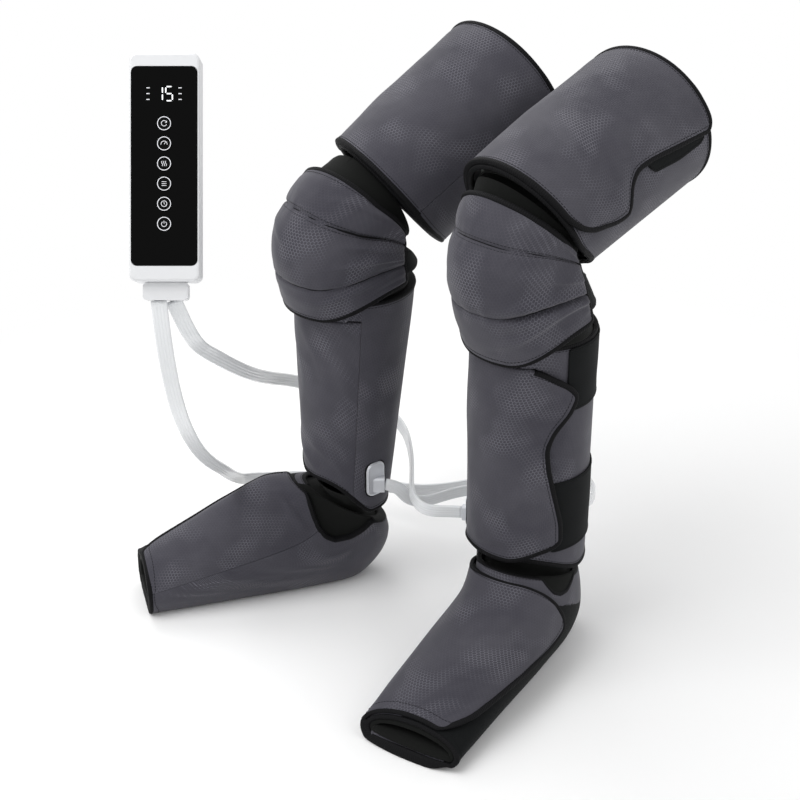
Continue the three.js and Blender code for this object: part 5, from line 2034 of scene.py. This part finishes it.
@dataclass
class Hose:
    """A flat ribbed air hose from the plug to a gland."""

    name: str
    side: int
    leg: Leg
    sizes: HoseSizes = HoseSizes()

    def gland_frame(self) -> Matrix:
        """The gland's frame: z out of the calf and y up the leg.

        Returns:
            The frame, in millimetres.
        """
        z, angle, _ = GLANDS[self.name]
        turn = math.radians(self.leg.sizes.outward * angle)
        out, up = Vector((math.sin(turn), -math.cos(turn), 0)), Vector((0, 0, 1))
        ring = self.leg.calf_tube.ring_at(np.array([z]))[0]
        made = Matrix((up.cross(out), up, out)).transposed().to_4x4()
        made.translation = out * (ring[4] + FLAP_OUT + LAYER_GAP) + Vector(
            (self.leg.sizes.calf["x"], self.leg.sizes.calf["y"] + ring[1], z)
        )
        return made

    def line(self) -> tuple[Array, Array]:
        """The hose's centreline and the way across its width, at even steps.

        Returns:
            The centreline's points and a vector for each.
        """
        s, frame, gland = self.sizes, controller_frame(), self.gland_frame()
        x, z = self.side * s.apart_x / 2, -self.side * s.apart_z / 2
        start = PLUG_TOP - PLUG_LENGTH - LAYER_GAP
        face = frame.to_3x3() @ Vector((0, 0, 1))
        points, facings = [], []
        for y in (start, start - s.lead):
            points.append(frame @ Vector((x, y, z)))
            facings.append(face)
        for row in ROUTES[self.name]:
            points.append(Vector(row[:3]))
            # Out in the open the flat side lies the way it hangs from the plug.
            facings.append(Vector(row[3:]).normalized() if row[3:] else face)
        lean = math.radians(GLANDS[self.name][2])
        aside = gland.to_3x3() @ Vector((math.cos(lean), 0, -math.sin(lean)))
        for out in (GLAND_SOCKET + LAYER_GAP + s.lead, GLAND_SOCKET + LAYER_GAP):
            points.append(gland @ Vector((out * math.sin(lean), GLAND_SOCKET_Y, out * math.cos(lean))))
            facings.append(aside)
        line, times = smooth_line(np.array(points))
        run = np.concatenate([[0], np.cumsum(np.linalg.norm(np.diff(line, axis=0), axis=1))])
        even = np.interp(np.linspace(0, run[-1], int(run[-1] / s.step)), run, times)
        line, facing = smooth_line(np.array(points), even)[0], unit(smooth_line(np.array(facings), even)[0])
        run, (near, far) = np.arange(len(line))[:, None] * s.step, OPEN_END
        calm, close = settle(line, s.calm_open) - line, settle(line, s.calm_hidden) - line
        line = line + calm * ease(run, far, near) + close * ease(run, near, far)
        # Where the hose runs along its facing, its neighbours say how it lies.
        across = np.cross(facing, unit(slope(line, False)))
        for i in range(1, len(across)):
            if across[i] @ across[i - 1] < 0:
                across[i] = -across[i]
        return line, unit(settle(across, s.calm_turn))

    def section(self) -> Array:
        """The flat section: shallow ribs over its bores on both faces and round edges.

        Returns:
            Its points, anticlockwise.
        """
        s = self.sizes
        xs = np.linspace(-1, 1, 8 * s.ribs + 1)[1:-1]
        edge = (1 - np.abs(xs) ** 7) ** (1 / 2.2)
        ribs = 1 - s.rib_depth * (1 + np.cos(np.pi * s.ribs * (xs + 1))) / 2
        half, side = s.thick / 2 * edge * ribs, s.width / 2
        top, under = (np.stack([xs * s.width / 2, sign * half], axis=1) for sign in (1, -1))
        return np.vstack([[side, 0], top[::-1], [-side, 0], under])

    def gasket(self) -> None:
        """The black gasket round the gland's plate, and the plate's raised lip."""
        frame = np.array(self.gland_frame())
        for label, grown, z, thick, finish, slot in (
            ("gland_gasket", 0.7, 0.3, 1.0, TAPE, "lining_cloth"),
            ("gland_lip", -1.9, 2.3, 0.9, GLAND_ABS, "gland_plastic"),
        ):
            half_x, half_y, corner = (size + grown for size in (*GLAND_HALF, GLAND_CORNER))
            t = np.radians(np.arange(0, 360, 9.0) + 4.5)
            c, s = np.cos(t), np.sin(t)
            flat = np.column_stack([
                np.sign(c) * (half_x - corner) + corner * c, np.sign(s) * (half_y - corner) + corner * s,
                np.full(len(t), z), np.ones(len(t)),
            ])
            centres = (flat @ frame.T)[:, :3]
            normals = np.broadcast_to(frame[:3, 2], centres.shape)
            across = unit(np.cross(slope(centres, True), normals))
            section = superellipse(thick, thick, 2, 8)
            ring = sweep(f"{self.name}_{label}", centres, across, normals, section, True, finish)
            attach(ring, "wraps")

    def build(self) -> None:
        self.gasket()
        centres, across = self.line()
        tangents = unit(slope(centres, False))
        normals = unit(np.cross(tangents, across))
        sides = np.cross(normals, tangents)
        piece = sweep(f"{self.name}_air_hose", centres, sides, normals, self.section(), False, HOSE_PVC)
        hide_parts(f"hose_{self.name}")
        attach(piece, "wraps")


# The controller


@dataclass
class Controller:
    """The finishes of the hand controller, and the marks on its panel and keys."""

    nodes: dict  # the CAD's objects by name
    face: float = CASE_DEPTH / 2
    key_top: float = 42.1
    key_pitch: float = 19.4
    key_proud: float = 0.5
    display_y: float = 70.8
    digit: tuple[float, float] = (6.4, 13.6)
    keys: tuple[str, ...] = ("key_mode", "key_pressure", "key_heat", "key_zone", "key_timer", "key_power")

    def __post_init__(self) -> None:
        """Works out the controller's frame."""
        self.place = np.array(controller_frame())

    def paint(self) -> None:
        """Gives every rigid CAD node its finish."""
        for finish, names in {
            WHITE_ABS: ("case_front", "case_rear", "hose_plug", "valve_block"),
            BLACK_GLASS: ("touch_panel",),
            RESIN: ("circuit_board",),
            STEEL: ("air_pump", *(f"case_screw_{i}" for i in range(1, 5))),
            WRAP: ("battery_pack",),
            GLAND_ABS: ("right_hose_gland", "left_hose_gland"),
            KEY_CAP: self.keys,
        }.items():
            for name in names:
                mesh = self.nodes[name].data
                mesh.materials.clear()
                mesh.materials.append(finish.material())
                LOG.info("%s is %s", name, finish.name)

    def mark(
        self, name: str, strokes: list[Array], width: float, z: float, finish: Finish, body: str
    ) -> None:
        """Makes thin raised marks from strokes on the controller's face.

        Args:
            name: the object's name.
            strokes: lines in the controller's own x and y.
            width: how wide a stroke is.
            z: how high it lies.
            finish: the material.
            body: the body that it rides on.
        """
        up = self.place[:3, 2]
        made = []
        for k, stroke in enumerate(strokes):
            stroke = np.asarray(stroke, float)
            loop = bool(np.allclose(stroke[0], stroke[-1])) and len(stroke) > 3
            stroke = stroke[:-1] if loop else stroke
            flat = np.column_stack([stroke, np.full(len(stroke), z), np.ones(len(stroke))])
            centres = (flat @ self.place.T)[:, :3]
            across = unit(np.cross(np.broadcast_to(up, centres.shape), slope(centres, loop)))
            normals = np.broadcast_to(up, centres.shape)
            section = superellipse(width / 2, 0.06, 4, 8)
            made.append(sweep(f"{name}_{k}", centres, across, normals, section, loop, finish))
        piece = join(name, made)
        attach(piece, body)
        LOG.info("%s rides on %s", name, body)

    def ring(self, x: float, y: float, r: float, first: float, last: float, count: int) -> Array:
        """A round stroke.

        Args:
            x: its middle.
            y: its middle.
            r: its radius.
            first: where it starts, in degrees.
            last: where it stops.
            count: how many steps.

        Returns:
            The stroke.
        """
        t = np.radians(np.linspace(first, last, count + 1))
        return np.stack([x + r * np.cos(t), y + r * np.sin(t)], axis=1)

    def icons(self) -> list[list[Array]]:
        """The strokes of each key's icon, round a middle at 0, 0.

        Returns:
            A list of strokes for each key.
        """
        leaf = [self.ring(0, 0, 2.3, 20, 340, 20)]
        turn = leaf + [np.array([[2.2, 2.0], [2.2, 0.7], [0.9, 0.7]])]
        gauge = [self.ring(0, -0.6, 2.6, -10, 190, 18), np.array([[0, -0.6], [1.4, 0.9]])]
        waves = [
            np.stack([x + 0.45 * np.sin(np.linspace(0, 2 * np.pi, 14)), np.linspace(-2.1, 2.1, 14)], axis=1)
            for x in (-1.6, 0, 1.6)
        ]
        zones = [np.array([[-2.0, y], [2.0, y]]) for y in (-1.6, 0, 1.6)]
        clock = [self.ring(0, 0, 2.4, 0, 360, 20), np.array([[0, 1.5], [0, 0], [1.1, -0.6]])]
        power = [self.ring(0, -0.2, 2.2, 125, 415, 20), np.array([[0, 2.6], [0, 0.2]])]
        return [turn, gauge, waves, zones, clock, power]

    def digits(self) -> list[Array]:
        """The lit segments of a plain two-digit number, 15.

        Returns:
            A stroke for each segment.
        """
        w, h = self.digit
        x0, x1, y0, y1, y2 = 0.0, w, 0.0, h / 2, h
        segments = {
            "top": [[x0, y2], [x1, y2]], "middle": [[x0, y1], [x1, y1]], "bottom": [[x0, y0], [x1, y0]],
            "top_left": [[x0, y1], [x0, y2]], "top_right": [[x1, y1], [x1, y2]],
            "low_right": [[x1, y0], [x1, y1]],
        }
        one = ("top_right", "low_right")
        five = ("top", "top_left", "middle", "low_right", "bottom")
        strokes = []
        for left, shown in ((-w - 1.6, one), (1.6, five)):
            for key in shown:
                a, b = np.array(segments[key], float)
                inset = unit(b - a) * 0.9
                middle = np.array([left, self.display_y - h / 2])
                strokes.append(np.array([a + inset, (a + b) / 2, b - inset]) + middle)
        return strokes

    def build(self) -> None:
        """Dresses the controller and draws its marks."""
        self.paint()
        z = self.face + 0.06
        self.mark("display_digits", self.digits(), 1.15, z, DIGIT, "controller")
        # Six dots beside the display, in the white print that glows faintly: painted light.
        dots = [
            np.array([[side * 15.5 - 1.6, self.display_y + row], [side * 15.5 + 1.6, self.display_y + row]])
            for side in (-1, 1)
            for row in (-5.6, 0, 5.6)
        ]
        self.mark("level_lights", dots, 0.9, z, PRINT, "controller")
        for i, (key, strokes) in enumerate(zip(self.keys, self.icons(), strict=True)):
            y = self.key_top - self.key_pitch * i
            moved = [stroke * 1.15 + np.array([0, y]) for stroke in strokes]
            rim = [self.ring(0, y, 6.35, 0, 360, 40)]
            top = self.face + self.key_proud + 0.05
            self.mark(f"{key}_icon", moved, 0.55, top, PRINT, key)
            self.mark(f"{key}_rim", rim, 0.7, top, PRINT, key)


def join(name: str, pieces: list[bpy.types.Object]) -> bpy.types.Object:
    """Joins meshes into one object.

    Args:
        name: its name.
        pieces: the objects, which are used up.

    Returns:
        The object.
    """
    shape = bmesh.new()
    for piece in pieces:
        shape.from_mesh(piece.data)
    mesh = bpy.data.meshes.new(name)
    shape.to_mesh(mesh)
    shape.free()
    mesh.materials.append(pieces[0].data.materials[0])
    for piece in pieces:
        bpy.data.objects.remove(piece)
    return linked(name, mesh)


# The studio


FLOOR_CORNERS = ((-1, -1), (1, -1), (1, 1), (-1, 1))


@dataclass(frozen=True)
class Studio:
    """The camera where the photograph was taken from, a pale floor and soft lamps."""

    target: tuple[float, float, float] = (0.033, -0.094, 0.330)
    distance: float = 2.0
    lens: float = 80.36
    lamp_distance: float = 2.4
    light: float = 0.62  # how strong the world is as a light
    floor_half: float = 6.0
    floor_z: float = -0.0005

    def aim(self, made: bpy.types.Object, azimuth: float, elevation: float, distance: float) -> None:
        """Puts a camera or a lamp round the object and turns it to its middle.

        Args:
            made: the camera or lamp.
            azimuth: degrees round from the front.
            elevation: degrees up.
            distance: how far away, in metres.
        """
        away = toward(azimuth, elevation)
        made.location = Vector(self.target) + away * distance
        made.rotation_euler = (-away).to_track_quat("-Z", "Y").to_euler()

    def camera(self) -> None:
        """Sets the camera up."""
        data = bpy.data.cameras.new("camera")
        data.lens, data.sensor_width = self.lens, 36.0
        camera = linked("camera", data)
        self.aim(camera, *AIM, self.distance)
        bpy.context.scene.camera = camera

    def lamp(self, name: str, azimuth: float, elevation: float, power: float, size: float) -> None:
        """Adds a square lamp that faces the object.

        Args:
            name: its name.
            azimuth: degrees round from the front.
            elevation: degrees up.
            power: watts.
            size: its side, in metres.
        """
        data = bpy.data.lights.new(name, "AREA")
        data.energy, data.size = power, size
        self.aim(linked(name, data), azimuth, elevation, self.lamp_distance)

    def world(self) -> None:
        """A world that is white to the camera and softer as a light."""
        world = bpy.data.worlds.new("white_room")
        bpy.context.scene.world = world
        world.use_nodes = True
        tree = world.node_tree
        tree.nodes.clear()
        light, white = (
            node(tree, "ShaderNodeBackground", {"Color": (1, 1, 1, 1), "Strength": strength}).outputs[0]
            for strength in (self.light, 1.0)
        )
        both = node(tree, "ShaderNodeMixShader", {0: seen_directly(tree), 1: light, 2: white})
        node(tree, "ShaderNodeOutputWorld", {"Surface": both.outputs[0]})

    def floor(self) -> None:
        """A plain pale floor just under the soles."""
        mesh = bpy.data.meshes.new("floor")
        corners = [(x * self.floor_half, y * self.floor_half, self.floor_z) for x, y in FLOOR_CORNERS]
        mesh.from_pydata(corners, [], [(0, 1, 2, 3)])
        mesh.materials.append(PaleFloor().material())
        linked("floor", mesh)

    def build(self) -> None:
        """Makes the camera, lamps, world and floor."""
        bpy.context.scene.view_settings.view_transform = "Standard"
        self.camera()
        self.lamp("key", -22, 58, 38, 2.0)
        self.lamp("fill", 112, 30, 8, 1.8)
        self.lamp("rim", -110, 40, 16, 1.6)
        self.world()
        self.floor()


def main() -> None:
    """Builds everything in order."""
    logging.basicConfig(level=logging.INFO, format="%(message)s")
    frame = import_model()
    Studio().build()
    sewing = Sewing()
    legs = {sizes.name: Leg(sizes, sewing) for sizes in (RIGHT, LEFT)}
    for side, name in ((-1, "right"), (1, "left")):
        Hose(name, side, legs[name]).build()
    for leg in legs.values():
        leg.build()
    Controller(frame["nodes"]).build()
    bending = {leg.knee_owner: leg for leg in legs.values()}
    for owner, piece in sewing.make().items():
        if owner in bending:
            leg = bending[owner]
            leg.place(piece, leg.label("thigh"), "lining_cloth", ends=leg.knee_ends)
            continue
        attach(piece, owner[0])
        LOG.info("%s is sewn", piece.name)


if __name__ == "__main__":
    main()
